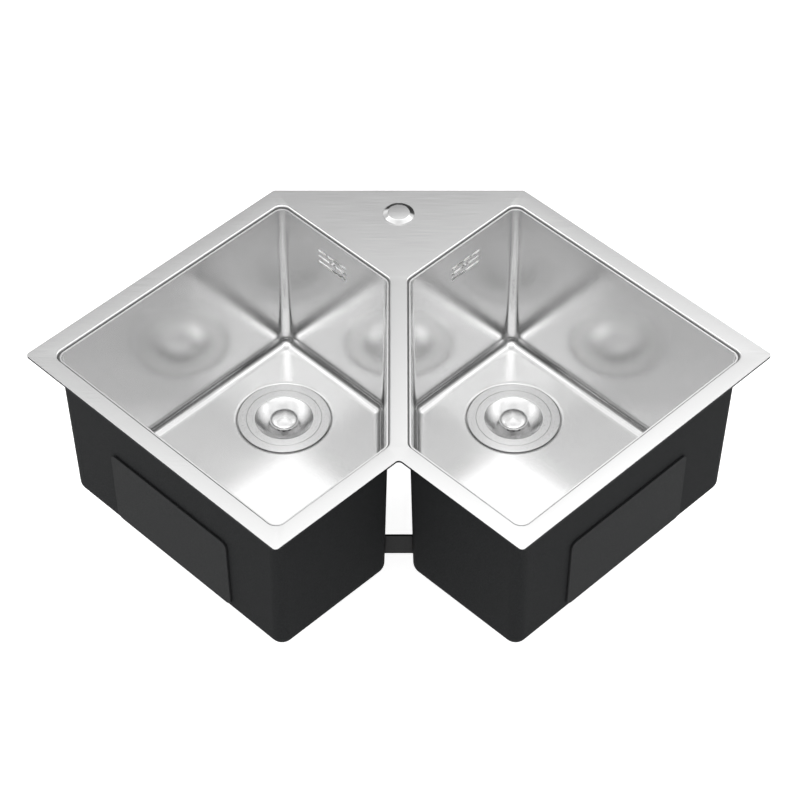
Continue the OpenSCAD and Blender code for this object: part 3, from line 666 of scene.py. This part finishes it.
def moulded_polypropylene():
    """White moulded polypropylene of the waste: milky and slightly translucent, so light glows in its walls."""
    material, tree, shader = surface("moulded polypropylene", Subsurface_Weight=1.0, Subsurface_Scale=3 * MM,
                                     Subsurface_Radius=(1.0, 1.0, 1.0), IOR=1.49)
    flow = noise(tree, [14 * MM] * 3)
    wire(tree, shader, Base_Color=shades(tree, flow, "#FAFAF9", "#FEFEFD"),
         Roughness=between(tree, flow, 0.38, 0.48))
    return material


def zinc_plated_steel():
    """Clear zinc plate on pressed steel: pale bluish grey with a faint spangle."""
    material, tree, shader = surface("zinc-plated steel", Metallic=1.0)
    spangle = noise(tree, [4 * MM] * 3)
    wire(tree, shader, Base_Color=shades(tree, spangle, "#B9BCC0", "#CDD0D4"),
         Roughness=between(tree, spangle, 0.3, 0.42))
    return material


def turned_brass():
    """Turned brass of the insert nuts: warm yellow, with fine tool marks along its height."""
    material, tree, shader = surface("turned brass", Metallic=1.0)
    # Feed marks of the tool are 0.1 to 0.2 mm apart; they are drawn 0.5 mm apart
    marks = noise(tree, (8 * MM, 8 * MM, 0.5 * MM))
    wire(tree, shader, Base_Color=shades(tree, marks, "#C9A25A", "#DDBB74"),
         Roughness=between(tree, marks, 0.22, 0.32))
    return material


def drawn_spring_wire():
    """Drawn stainless spring wire: smooth, mid grey, slightly dulled by its drawing soap."""
    material, tree, shader = surface("drawn spring wire", Metallic=1.0)
    dulling = noise(tree, [1.5 * MM] * 3)
    wire(tree, shader, Base_Color=shades(tree, dulling, "#A9AAAC", "#BCBDBF"),
         Roughness=between(tree, dulling, 0.2, 0.3))
    return material


STEEL_DECK = brushed_304_sheet()
STEEL_BOWL = satin_304_bowl()
# Dark band on the bowl's rim next to the deck: painted shade of the gap under the deck's edge
RIM_SHADE = rim_shade_band()
# Near-black outer side face of the deck: painted shade
SIDE_SHADE = deck_side_shade()
STEEL_STRAINER = satin_strainer_steel()
STEEL_POLISHED = polished_304()
STEEL_BUFFED = buffed_304()
COAT = sprayed_bitumen_coat()
PAD = moulded_rubber_pad()
FOAM = closed_cell_foam()
RUBBER = black_nitrile_rubber()
BAR = powder_coated_bar()
PLASTIC = moulded_polypropylene()
FROSTED = frosted_polypropylene()
ZINC = zinc_plated_steel()
BRASS = turned_brass()
WIRE = drawn_spring_wire()


# Geometry Nodes

def new_tree(name, sizes):
    """Geometry tree with named inputs for its mesh, its sizes and its material."""
    tree = bpy.data.node_groups.new(name, "GeometryNodeTree")
    tree.is_modifier = True
    tree.interface.new_socket(name="Mesh", in_out="INPUT", socket_type="NodeSocketGeometry")
    for label, kind in sizes:
        tree.interface.new_socket(name=label, in_out="INPUT", socket_type="NodeSocket" + kind)
    tree.interface.new_socket(name="Material", in_out="INPUT", socket_type="NodeSocketMaterial")
    tree.interface.new_socket(name="Mesh", in_out="OUTPUT", socket_type="NodeSocketGeometry")
    return tree, tree.nodes.new("NodeGroupInput").outputs


def close_tree(tree, given, mesh):
    """Ends a tree in real faces that carry the material."""
    real = add(tree, "GeometryNodeRealizeInstances", {"Geometry": mesh})
    dressed = add(tree, "GeometryNodeSetMaterial", {"Geometry": real.outputs[0], "Material": given["Material"]})
    add(tree, "NodeGroupOutput", {0: dressed.outputs[0]})
    return tree


def hole_circle_tree():
    """Holes drilled through a sheet on a circle."""
    sizes = [("Holes", "Int"), ("Circle Radius", "Float"), ("Hole Radius", "Float"), ("Depth", "Float"),
             ("Centre", "Vector")]
    tree, given = new_tree("hole circle", sizes)
    places = add(tree, "GeometryNodeMeshCircle", {"Vertices": given["Holes"], "Radius": given["Circle Radius"]})
    drill = add(tree, "GeometryNodeMeshCylinder", {"Vertices": DRILL_STEPS, "Radius": given["Hole Radius"],
                                                   "Depth": given["Depth"]})
    drills = add(tree, "GeometryNodeInstanceOnPoints", {"Points": places.outputs[0],
                                                        "Instance": drill.outputs[0]})
    moved = add(tree, "GeometryNodeTransform", {"Geometry": drills.outputs[0], "Translation": given["Centre"]})
    real = add(tree, "GeometryNodeRealizeInstances", {"Geometry": moved.outputs[0]})
    drilled = add(tree, "GeometryNodeMeshBoolean", {"Mesh 1": given["Mesh"], "Mesh 2": real.outputs[0]},
                  operation="DIFFERENCE", solver="EXACT")
    return close_tree(tree, given, drilled.outputs[0])


def screw_thread_tree():
    """Ridge of a screw thread, wound on a cylinder upwards from its lower end."""
    tree, given = new_tree("screw thread", [("Radius", "Float"), ("Turns", "Float"), ("Height", "Float"),
                                            ("Ridge", "Float"), ("Foot", "Vector")])
    line = add(tree, "GeometryNodeCurveSpiral", {"Resolution": THREAD_STEPS, "Rotations": given["Turns"],
                                                 "Start Radius": given["Radius"], "End Radius": given["Radius"],
                                                 "Height": given["Height"]})
    form = add(tree, "GeometryNodeCurvePrimitiveCircle", {"Resolution": RIDGE_SIDES, "Radius": given["Ridge"]})
    ridge = add(tree, "GeometryNodeCurveToMesh", {"Curve": line.outputs[0], "Profile Curve": form.outputs[0],
                                                  "Fill Caps": True})
    moved = add(tree, "GeometryNodeTransform", {"Geometry": ridge.outputs[0], "Translation": given["Foot"]})
    return close_tree(tree, given, moved.outputs[0])


HOLE_CIRCLE = hole_circle_tree()
SCREW_THREAD = screw_thread_tree()


def grown(thing, tree, **sizes):
    """Runs a geometry tree on an object with its named sizes, and keeps the plain mesh."""
    modifier = thing.modifiers.new(tree.name, "NODES")
    modifier.node_group = tree
    known = {s.name: s.identifier for s in tree.interface.items_tree if s.in_out == "INPUT"}
    for label, value in sizes.items():
        modifier[known[label.replace("_", " ")]] = value
    return applied(thing)


# Deck

def deck_edge(inset):
    """The deck's rounded outline, drawn in by an inset."""
    radii = [DECK_CORNER_R + inset] + [DECK_CORNER_R - inset] * 6
    return rounded(deck_points(inset), radii)


def opening_edge(inset, side):
    """The rounded outline of the right or left opening, drawn in by an inset."""
    outline = rounded(opening_points(inset), OPENING_R - inset)
    return outline if side > 0 else [Vector((-p.x, p.y)) for p in outline]


def encloses(outline, point):
    """Whether a closed outline runs round a point."""
    hits = 0
    for a, b in zip(outline, outline[1:] + outline[:1]):
        if (a.y > point.y) != (b.y > point.y):
            hits += point.x < a.x + (point.y - a.y) / (b.y - a.y) * (b.x - a.x)
    return hits % 2 == 1


def deck_plate():
    """Plate with a cut outer edge drawn in painted shade, and openings whose edges roll over."""
    mesh = bmesh.new()
    e, r = DECK_EDGE_R, OPENING_EDGE_R
    outer = path((0, DECK_BOTTOM), arc(e, DECK_TOP - e, e, e, 180, 90))
    skin(mesh, [ring(mesh, deck_edge(p.x), p.y) for p in outer])
    inner = path((-e, DECK_BOTTOM), (0, DECK_BOTTOM + e), arc(-r, DECK_TOP - r, r, r, 0, 90))
    for side in (-1, 1):
        skin(mesh, [ring(mesh, opening_edge(p.x, side), p.y) for p in inner])
    hole = path((TAP_HOLE_R, DECK_BOTTOM), (TAP_HOLE_R, DECK_TOP))
    skin(mesh, [ring(mesh, circle(TAP_HOLE, p.x), p.y) for p in hole])
    merged(mesh)
    fill_level(mesh, DECK_TOP)
    fill_level(mesh, DECK_BOTTOM)
    plate = kept(to_object("deck_plate", mesh), STEEL_DECK, "sink_body", "brushed_deck", "deck")
    plate.data.materials.append(SIDE_SHADE)
    plate.data.materials.append(STEEL_POLISHED)
    rim = deck_edge(DECK_EDGE_R)
    # The deck's outer side face is drawn near black as painted shade; the rounded edges of the openings and the
    # tap hole are polished
    for face in plate.data.polygons:
        if DECK_BOTTOM + FLUSH < face.center.z < DECK_TOP - FLUSH:
            in_side_shade = face.center.z < DECK_TOP - DECK_EDGE_R / 2
            face.material_index = 2 if encloses(rim, face.center) else 1 if in_side_shade else 0
    return plate


deck_plate()


# Bowls and their sound coats

BALL_INSET = wall_inset(BALL_Z) + FLOOR_R / math.cos(WALL_LEAN)
OVERFLOW_Z = DECK_TOP - OVERFLOW_DROP
WALL_MIDDLE_SUM = (SIDE_SUM + DIVIDER_W + BOWL_LEDGE * 2 - INNER_DIFF) / 2
OVERFLOW_AT = crossing(WALL_MIDDLE_SUM, INNER_DIFF + wall_inset(OVERFLOW_Z) * ROOT2)
ON_WALL = (Matrix.Translation((*OVERFLOW_AT, OVERFLOW_Z)) @ Matrix.Rotation(math.radians(45), 4, "Z")
           @ Matrix.Rotation(-WALL_LEAN, 4, "X"))


def bowl_outline(inset, radius):
    """Outline of the right bowl, drawn in from its opening."""
    return rounded(opening_points(inset), radius)


def wall_rings(mesh, grow, top):
    """Rings of a bowl's wall and floor fillet, grown outwards by a thickness, from a height downwards."""
    rings = [ring(mesh, bowl_outline(wall_inset(top) - grow / math.cos(WALL_LEAN), BOWL_CORNER_R + grow), top)]
    radius = FLOOR_R + grow
    for i in range(FILLET_STEPS + 1):
        turn = WALL_LEAN + (math.pi / 2 - WALL_LEAN) * i / FILLET_STEPS
        rings.append(ring(mesh, bowl_outline(BALL_INSET - radius * math.cos(turn), radius * math.cos(turn)),
                          BALL_Z - radius * math.sin(turn)))
    return rings


def turned_rings(mesh, profile):
    """Rings of a turned surface round the right drain."""
    return [ring(mesh, circle(DRAIN, p.x), FLOOR_Z + p.y) for p in profile]


def wall_block(name, outline, front, back):
    """Block cut out of the inner back wall, from an outline in the wall's plane."""
    mesh = bmesh.new()
    ends = [[mesh.verts.new(ON_WALL @ Vector((p.x, y, p.y))) for p in outline] for y in (front, back)]
    skin(mesh, ends)
    for end in ends:
        mesh.faces.new(end)
    return to_object(name, mesh)


def slot_outline(x0, x1, z):
    """Slot with round ends, from one end to the other."""
    r = SLOT_H / 2
    return path(arc(x0 + r, z, r, r, 90, 270, BEND_STEPS), arc(x1 - r, z, r, r, -90, 90, BEND_STEPS))


def overflow_cutters():
    """Cutters of the three rows of slots and of the screw's hole."""
    half, bridge = SLOT_FIELD_W / 2, SLOT_BRIDGE / 2
    step = SLOT_FIELD_W * SLOT_SHORT_SHARE
    dot = OVERFLOW_SCREW_R + SLOT_BRIDGE
    spans = [(step - half + bridge, half, -SLOT_PITCH), (-half, step - half - bridge, -SLOT_PITCH),
             (-half, half - step - bridge, SLOT_PITCH), (half - step + bridge, half, SLOT_PITCH),
             (-half, -dot, 0), (dot, half, 0)]
    outlines = [slot_outline(*span) for span in spans]
    outlines.append(arc(0, 0, SCREW_WAY_R, SCREW_WAY_R, 0, 360 - 360 / CURVE_STEPS, CURVE_STEPS - 1))
    return [wall_block("cutter", outline, -SHEET_T, SHEET_T * 2) for outline in outlines]


def bowl_shell():
    """Pressed bowl with its welded rim, floor fillet, strainer seat and overflow slots."""
    mesh = bmesh.new()
    e, t = BOWL_EDGE_R, SHEET_T
    inset = wall_inset(DECK_BOTTOM)
    rim = inset - t / math.cos(WALL_LEAN) - WELD_FLANGE_W
    # The ring at the band's width divides the painted shade from the ledge
    flange = path((rim, DECK_BOTTOM - t), (rim, DECK_BOTTOM), (SHADE_BAND_W, DECK_BOTTOM),
                  arc(inset - e, DECK_BOTTOM - e, e, e, 90, 0))
    inside = [ring(mesh, bowl_outline(p.x, BOWL_CORNER_R + inset - p.x), p.y) for p in flange]
    inside += wall_rings(mesh, 0, DECK_BOTTOM - e)[1:]
    skin(mesh, inside)
    low = DECK_BOTTOM - t
    under = [ring(mesh, bowl_outline(rim, BOWL_CORNER_R + inset - rim), low)] + wall_rings(mesh, t, low)
    skin(mesh, under)
    fold = arc(SEAT_LIP_R + SEAT_FOLD_W, -SEAT_FOLD_H, SEAT_FOLD_W, SEAT_FOLD_H, 90, 180, BEND_STEPS)
    seat = path(fold, (SEAT_LIP_R, -SEAT_DEPTH), (FLOOR_HOLE_R, -SEAT_DEPTH), (FLOOR_HOLE_R, -SEAT_DEPTH - t),
                (SEAT_R + t, -SEAT_DEPTH - t), (SEAT_R + t, -t))
    skin(mesh, turned_rings(mesh, seat))
    merged(mesh)
    fill_level(mesh, FLOOR_Z)
    fill_level(mesh, FLOOR_Z - t)
    return cut(to_object("right_bowl_shell", mesh), *overflow_cutters())


def coat_shell():
    """Coat that covers a bowl's outside, with the seat and the overflow box left free."""
    mesh = bmesh.new()
    top, t = DECK_BOTTOM - SHEET_T, SHEET_T + COAT_T
    inner, outer = wall_rings(mesh, SHEET_T, top), wall_rings(mesh, t, top)
    skin(mesh, inner)
    skin(mesh, outer)
    skin(mesh, [inner[0], outer[0]])
    hole = SEAT_R + SHEET_T + LOOSE_PLAY
    skin(mesh, turned_rings(mesh, path((hole, -SHEET_T), (hole, -t))))
    merged(mesh)
    fill_level(mesh, FLOOR_Z - SHEET_T)
    fill_level(mesh, FLOOR_Z - t)
    x, z = WINDOW_W / 2, WINDOW_H / 2
    outline = rounded([Vector(p) for p in ((-x, -z), (x, -z), (x, z), (-x, z))], WINDOW_R, LIP_STEPS)
    window = wall_block("cutter", outline, 0, t + SHEET_T)
    return cut(to_object("right_coat_shell", mesh), window)


def rim_shade_and_ledge(side):
    """Finishes of a bowl's rim: a dark band of painted shade next to the deck, and the ledge inside it."""
    shade_band_end = bowl_outline(SHADE_BAND_W, BOWL_CORNER_R + wall_inset(DECK_BOTTOM) - SHADE_BAND_W)
    shell = bpy.data.objects[f"{side}_bowl_shell"].data
    shell.materials.append(RIM_SHADE)
    shell.materials.append(STEEL_DECK)
    # Faces near the deck get the band of painted shade; the ledge further in gets the deck's steel
    for face in shell.polygons:
        if face.center.z > DECK_BOTTOM - BOWL_EDGE_R / 2:
            on_right = Vector((abs(face.center.x), face.center.y))
            face.material_index = 2 if encloses(shade_band_end, on_right) else 1


pair(bowl_shell(), "bowl_shell", STEEL_BOWL, "satin_bowl", node="bowl")
rim_shade_and_ledge("left")
rim_shade_and_ledge("right")
pair(coat_shell(), "coat_shell", COAT, "sound_coat", node="sound_coat")
pair(softened("right_front_pad", "right_front_sheet", PAD_EDGE_R), "front_sheet", PAD, "sound_pad",
     node="front_pad")
pair(softened("right_floor_pad", "right_floor_sheet", PAD_EDGE_R), "floor_sheet", PAD, "sound_pad",
     node="floor_pad")
kept(softened("bowl_brace", "brace_bar", BRACE_EDGE_R), BAR, "sink_body", "coated_bar", "bowl_brace")
kept(softened("seal_strip", "foam_strip", STRIP_EDGE_R), FOAM, "sink_body", "grey_foam", "seal_strip")


# Strainers

def strainer():
    """Flange, land and cup, with the ring of outlet holes."""
    foot, low = CUP_R - CUP_BEND_R, CUP_BEND_R - CUP_DEPTH
    e, bend = STRAINER_EDGE_R, CUP_BEND_R + CUP_T
    outside = path((SCREW_HOLE_R, -CUP_DEPTH - CUP_T), arc(foot, low, bend, bend, -90, 0, BEND_STEPS),
                   (CUP_R + CUP_T, FLANGE_LOW), (FLANGE_R, FLANGE_LOW))
    flange = path(arc(FLANGE_R - e, FLANGE_TOP - e, e, e, 0, 90),
                  arc(LAND_R + e / 2, FLANGE_TOP - e / 2, e / 2, e / 2, 90, 180))
    inside = path((LAND_R, LAND_Z), (CUP_R, LAND_Z), arc(foot, low, CUP_BEND_R, CUP_BEND_R, 0, -90, BEND_STEPS),
                  (SCREW_HOLE_R, -CUP_DEPTH))
    thing = to_object("right_strainer_cup", lathe(path(outside, flange, inside), DRAIN))
    return grown(thing, HOLE_CIRCLE, Holes=OUTLET_HOLES, Circle_Radius=OUTLET_CIRCLE_R,
                 Hole_Radius=OUTLET_HOLE_R, Depth=CUP_T * 4,
                 Centre=DRAIN - Vector((0, 0, CUP_DEPTH + CUP_T / 2)), Material=STEEL_STRAINER)


def dish_curve(mouth, top, low):
    """Shallow cap from the mouth's edge down to a small level middle."""
    run, drop = mouth - DISH_FLOOR_R, top - low
    cap = (run ** 2 + drop ** 2) / (2 * drop)
    slope = math.asin(run / cap)
    turns = [slope * (1 - i / CURVE_STEPS) for i in range(CURVE_STEPS + 1)]
    return [Vector((DISH_FLOOR_R + cap * math.sin(a), low + cap * (1 - math.cos(a)))) for a in turns]


def basket():
    """Flat rim, polished dish with its ring of drain holes, and the guide under it."""
    top, low, t, e = FLANGE_TOP, FLANGE_TOP - DISH_DEPTH, BASKET_T, MOUTH_EDGE_R
    guide, way = STEM_R + STEM_PLAY + BASKET_T * 2, STEM_R + STEM_PLAY
    dish = dish_curve(MOUTH_R, top - e, low)
    under = [Vector((p.x + t * (p.x > DISH_FLOOR_R), p.y - t)) for p in reversed(dish)]
    rim = arc(BASKET_R - t / 2, top - t / 2, t / 2, t / 2, -90, 90, LIP_STEPS)
    end = low - t - GUIDE_L
    profile = path(rim, arc(MOUTH_R + e, top - e, e, e, 90, 140), dish, (way, low), (way, end), (guide, end),
                   (guide, low - t), under)
    thing = to_object("right_basket_dish", lathe(profile, DRAIN))
    return grown(thing, HOLE_CIRCLE, Holes=BASKET_HOLES, Circle_Radius=BASKET_CIRCLE_R,
                 Hole_Radius=BASKET_HOLE_R, Depth=BASKET_T * 6, Centre=DRAIN + Vector((0, 0, low - t / 2)),
                 Material=STEEL_BUFFED)


def plunger():
    """Domed knob, stem with its two necks, and the shoulder that carries the stopper."""
    r, rim, t = KNOB_R, KNOB_TOP - KNOB_H, KNOB_T
    crown = rim + KNOB_RIM_H
    h, e = KNOB_H - KNOB_RIM_H, KNOB_T / 3
    tip, neck = STEM_R - EDGE_BREAK, STEM_R - EDGE_BREAK * 1.5 - STEM_PLAY
    necks = []
    for z in (CLIP_Z, CLIP_Z - PLUNGER_TRAVEL):
        half = CLIP_WIRE_R + EDGE_BREAK / 2
        necks += [(tip, z + half), (neck, z + half / 2), (neck, z - half / 2), (tip, z - half)]
    knob = path(arc(0, crown, r, h, 90, 0, CURVE_STEPS), arc(r - e, rim + e, e, e, 0, -90),
                arc(r - t + e, rim + e, e, e, -90, -180), arc(0, crown, r - t, h - t, 0, 80, BEND_STEPS * 2))
    shoulder = STOPPER_TOP + SHOULDER_H
    stem = path((STEM_R, crown), (STEM_R, shoulder), (SHOULDER_R, shoulder), (SHOULDER_R, STOPPER_TOP),
                (tip, STOPPER_TOP), *necks, (tip, STEM_TIP_Z + EDGE_BREAK), (tip - EDGE_BREAK, STEM_TIP_Z),
                (0, STEM_TIP_Z))
    return to_object("right_knob_plunger", lathe(path(knob, stem), DRAIN))


pair(strainer(), "strainer_cup", STEEL_STRAINER, "satin_strainer", node="strainer_body")
pair(basket(), "basket_dish", STEEL_BUFFED, "polished_basket", "basket", "basket")
for side in ("left", "right"):
    second_finish(bpy.data.objects[f"{side}_basket_dish"], STEEL_STRAINER, MOUTH_R + MOUTH_EDGE_R, BASKET_R)
pair(plunger(), "knob_plunger", STEEL_BUFFED, "polished_basket", "plunger", "plunger")


# Waste and overflow housings

def threaded(name, radius, turns, height, ridge, foot, material):
    """Thread ridge wound round an upright cylinder."""
    thing = to_object(name, bmesh.new())
    return grown(thing, SCREW_THREAD, Radius=radius, Turns=turns, Height=height, Ridge=ridge, Foot=foot,
                 Material=material)


tail_foot = Vector((DRAIN.x, DRAIN.y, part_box("right_waste_housing")[0].z + TAIL_PITCH))
tail_run = TAIL_L - TAIL_PITCH * 2
pair(softened("right_waste_housing", "right_waste_shell", SHELL_EDGE_R), "waste_shell", PLASTIC,
     "white_plastic", node="waste_housing")
pair(threaded("right_tail_thread", TAIL_R, tail_run / TAIL_PITCH, tail_run, TAIL_RIDGE, tail_foot, PLASTIC),
     "tail_thread", PLASTIC, "white_plastic")
pair(softened("right_overflow_housing", "right_overflow_box", SHELL_EDGE_R), "overflow_box", FROSTED,
     "white_plastic", node="overflow_housing")
pair(softened("right_overflow_screw", "right_slotted_screw", SCREW_EDGE_R), "slotted_screw", STEEL_POLISHED,
     "satin_cover", node="overflow_screw")


# Tap-hole cover

def tap_cover():
    """Low disc with a polished bevel and a satin top, and its stud."""
    r, lip, e = COVER_R, COVER_R - COVER_LIP_W, COVER_EDGE_R
    place = Vector((TAP_HOLE.x, TAP_HOLE.y, DECK_TOP))
    profile = path((0, COVER_H), (COVER_TOP_R, COVER_H), (COVER_TOP_R + e, COVER_H - e / 3),
                   (r - e / 2, COVER_RIM_H + e / 3), (r, COVER_RIM_H), (r, PRESS_PLAY), (lip, PRESS_PLAY),
                   (lip, COVER_SEAL_T), (STUD_R, COVER_SEAL_T), (STUD_R, STUD_LOW + EDGE_BREAK),
                   (STUD_R - EDGE_BREAK, STUD_LOW), (0, STUD_LOW))
    thing = to_object("cover_disc", lathe(profile, place))
    kept(thing, STEEL_POLISHED, "sink_body", "satin_cover", "tap_hole_cover")
    second_finish(thing, STEEL_DECK, 0, COVER_TOP_R)


tap_cover()
stud_foot = Vector((TAP_HOLE.x, TAP_HOLE.y, DECK_TOP + STUD_LOW + STUD_PITCH))
stud_run = -STUD_LOW - STUD_PITCH * 2
kept(threaded("stud_thread", STUD_R, stud_run / STUD_PITCH, stud_run, STUD_RIDGE, stud_foot, STEEL_STRAINER),
     STEEL_STRAINER, "sink_body", "satin_cover")
kept(softened("tap_cover_wing_nut", "wing_nut", NUT_EDGE_R), ZINC, "sink_body", "zinc_plate",
     "tap_cover_wing_nut")
kept(softened("tap_cover_washer", "clamp_washer", WASHER_EDGE_R), ZINC, "sink_body", "zinc_plate",
     "tap_cover_washer")


# CAD pieces whose shape stays

CARRIED = {
    "tap_cover_seal": RUBBER,
    "overflow_seal": RUBBER,
    "flange_seal": FOAM,
    "sink_gasket": RUBBER,
    "centre_screw": STEEL_STRAINER,
    "screw_insert": BRASS,
    "stem_clip": WIRE,
    "stopper": RUBBER,
}
for name, node in frame["nodes"].items():
    material = CARRIED.get(name.replace("left_", "").replace("right_", ""))
    if material and not node.hide_render:
        for slot in node.material_slots:
            slot.material = material


# Floor, light and camera

def seen(tree):
    """1 for rays that look straight, in a mirror or through something, and 0 for light on its way."""
    ray = add(tree, "ShaderNodeLightPath").outputs
    looks = add(tree, "ShaderNodeMath", {0: ray["Is Camera Ray"], 1: ray["Is Glossy Ray"]}, operation="MAXIMUM")
    through = add(tree, "ShaderNodeMath", {0: looks.outputs[0], 1: ray["Is Transmission Ray"]},
                  operation="MAXIMUM")
    return through.outputs[0]


def studio_floor():
    """Plain white floor under the tails, which keeps the object's shadow."""
    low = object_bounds()[0][2]
    mesh = bmesh.new()
    bmesh.ops.create_grid(mesh, x_segments=1, y_segments=1, size=FLOOR_REACH)
    bmesh.ops.translate(mesh, verts=mesh.verts, vec=(0, 0, low))
    floor = to_object("studio_floor", mesh)
    material = bpy.data.materials.new("white studio floor")
    material.use_nodes = True
    tree = material.node_tree
    tree.nodes.clear()
    paint = add(tree, "ShaderNodeBsdfDiffuse", {"Color": linear("#E6E6E6")})
    strength = add(tree, "ShaderNodeMath", {0: seen(tree), 1: FLOOR_GLOW}, operation="MULTIPLY")
    glow = add(tree, "ShaderNodeEmission", {"Color": linear("#FFFFFF"), "Strength": strength.outputs[0]})
    both = add(tree, "ShaderNodeAddShader", {0: paint.outputs[0], 1: glow.outputs[0]})
    add(tree, "ShaderNodeOutputMaterial", {"Surface": both.outputs[0]})
    floor.data.materials.append(material)
    floor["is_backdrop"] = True


def studio_world():
    """Room of soft light, whose level changes with its height and from side to side."""
    world = bpy.data.worlds.new("soft room")
    bpy.context.scene.world = world
    world.use_nodes = True
    tree = world.node_tree
    tree.nodes.clear()

    def maths(operation, first, second=0.0):
        return add(tree, "ShaderNodeMath", {0: first, 1: second}, operation=operation).outputs[0]

    def facing(share):
        ahead = maths("MAXIMUM", share, 0.0)
        return maths("MULTIPLY", ahead, ahead)

    way = add(tree, "ShaderNodeTexCoord").outputs["Generated"]
    axes = add(tree, "ShaderNodeSeparateXYZ", {"Vector": way}).outputs
    level = maths("SUBTRACT", 1.0, maths("MULTIPLY", axes["Z"], axes["Z"]))
    flat = maths("SQRT", maths("MAXIMUM", level, STEEPEST))
    across, ahead = maths("DIVIDE", axes["X"], flat), maths("DIVIDE", axes["Y"], flat)
    swing = add(tree, "ShaderNodeMapRange", {"Value": across, "From Min": -ROOM_BLEND, "From Max": ROOM_BLEND},
                interpolation_type="SMOOTHSTEP").outputs[0]
    back = facing(ahead)
    sides = {"back right": maths("MULTIPLY", back, swing),
             "back left": maths("MULTIPLY", back, maths("SUBTRACT", 1.0, swing)),
             "right": facing(across),
             "left": facing(maths("MULTIPLY", across, -1.0)),
             "front": facing(maths("MULTIPLY", ahead, -1.0))}
    total = 0.0
    for side, levels in ROOM.items():
        ramp = add(tree, "ShaderNodeValToRGB", {"Fac": axes["Z"]})
        stops = ramp.color_ramp.elements
        for _ in levels[2:]:
            stops.new(1)
        for turn, (height, level) in enumerate(zip(ROOM_HEIGHTS, levels)):
            stops[turn].position = math.sin(math.radians(height))
            stops[turn].color = (*[level / ROOM_PEAK] * 3, 1)
        total = maths("ADD", maths("MULTIPLY", ramp.outputs[0], sides[side]), total)
    sky = add(tree, "ShaderNodeBackground", {"Color": total, "Strength": ROOM_PEAK})
    add(tree, "ShaderNodeOutputWorld", {"Surface": sky.outputs[0]})


def camera():
    """Camera at the photograph's viewing angle."""
    view = bpy.data.cameras.new("camera")
    view.lens, view.sensor_width = CAMERA_LENS, CAMERA_SENSOR
    view.shift_x = CAMERA_SHIFT
    view.clip_end = CAMERA_REACH
    eye = bpy.data.objects.new("camera", view)
    bpy.context.scene.collection.objects.link(eye)
    eye.location = CAMERA_PLACE
    eye.rotation_euler = (CAMERA_TILT, 0, 0)
    bpy.context.scene.camera = eye


studio_floor()
studio_world()
camera()
bpy.context.scene.view_settings.view_transform = "Standard"
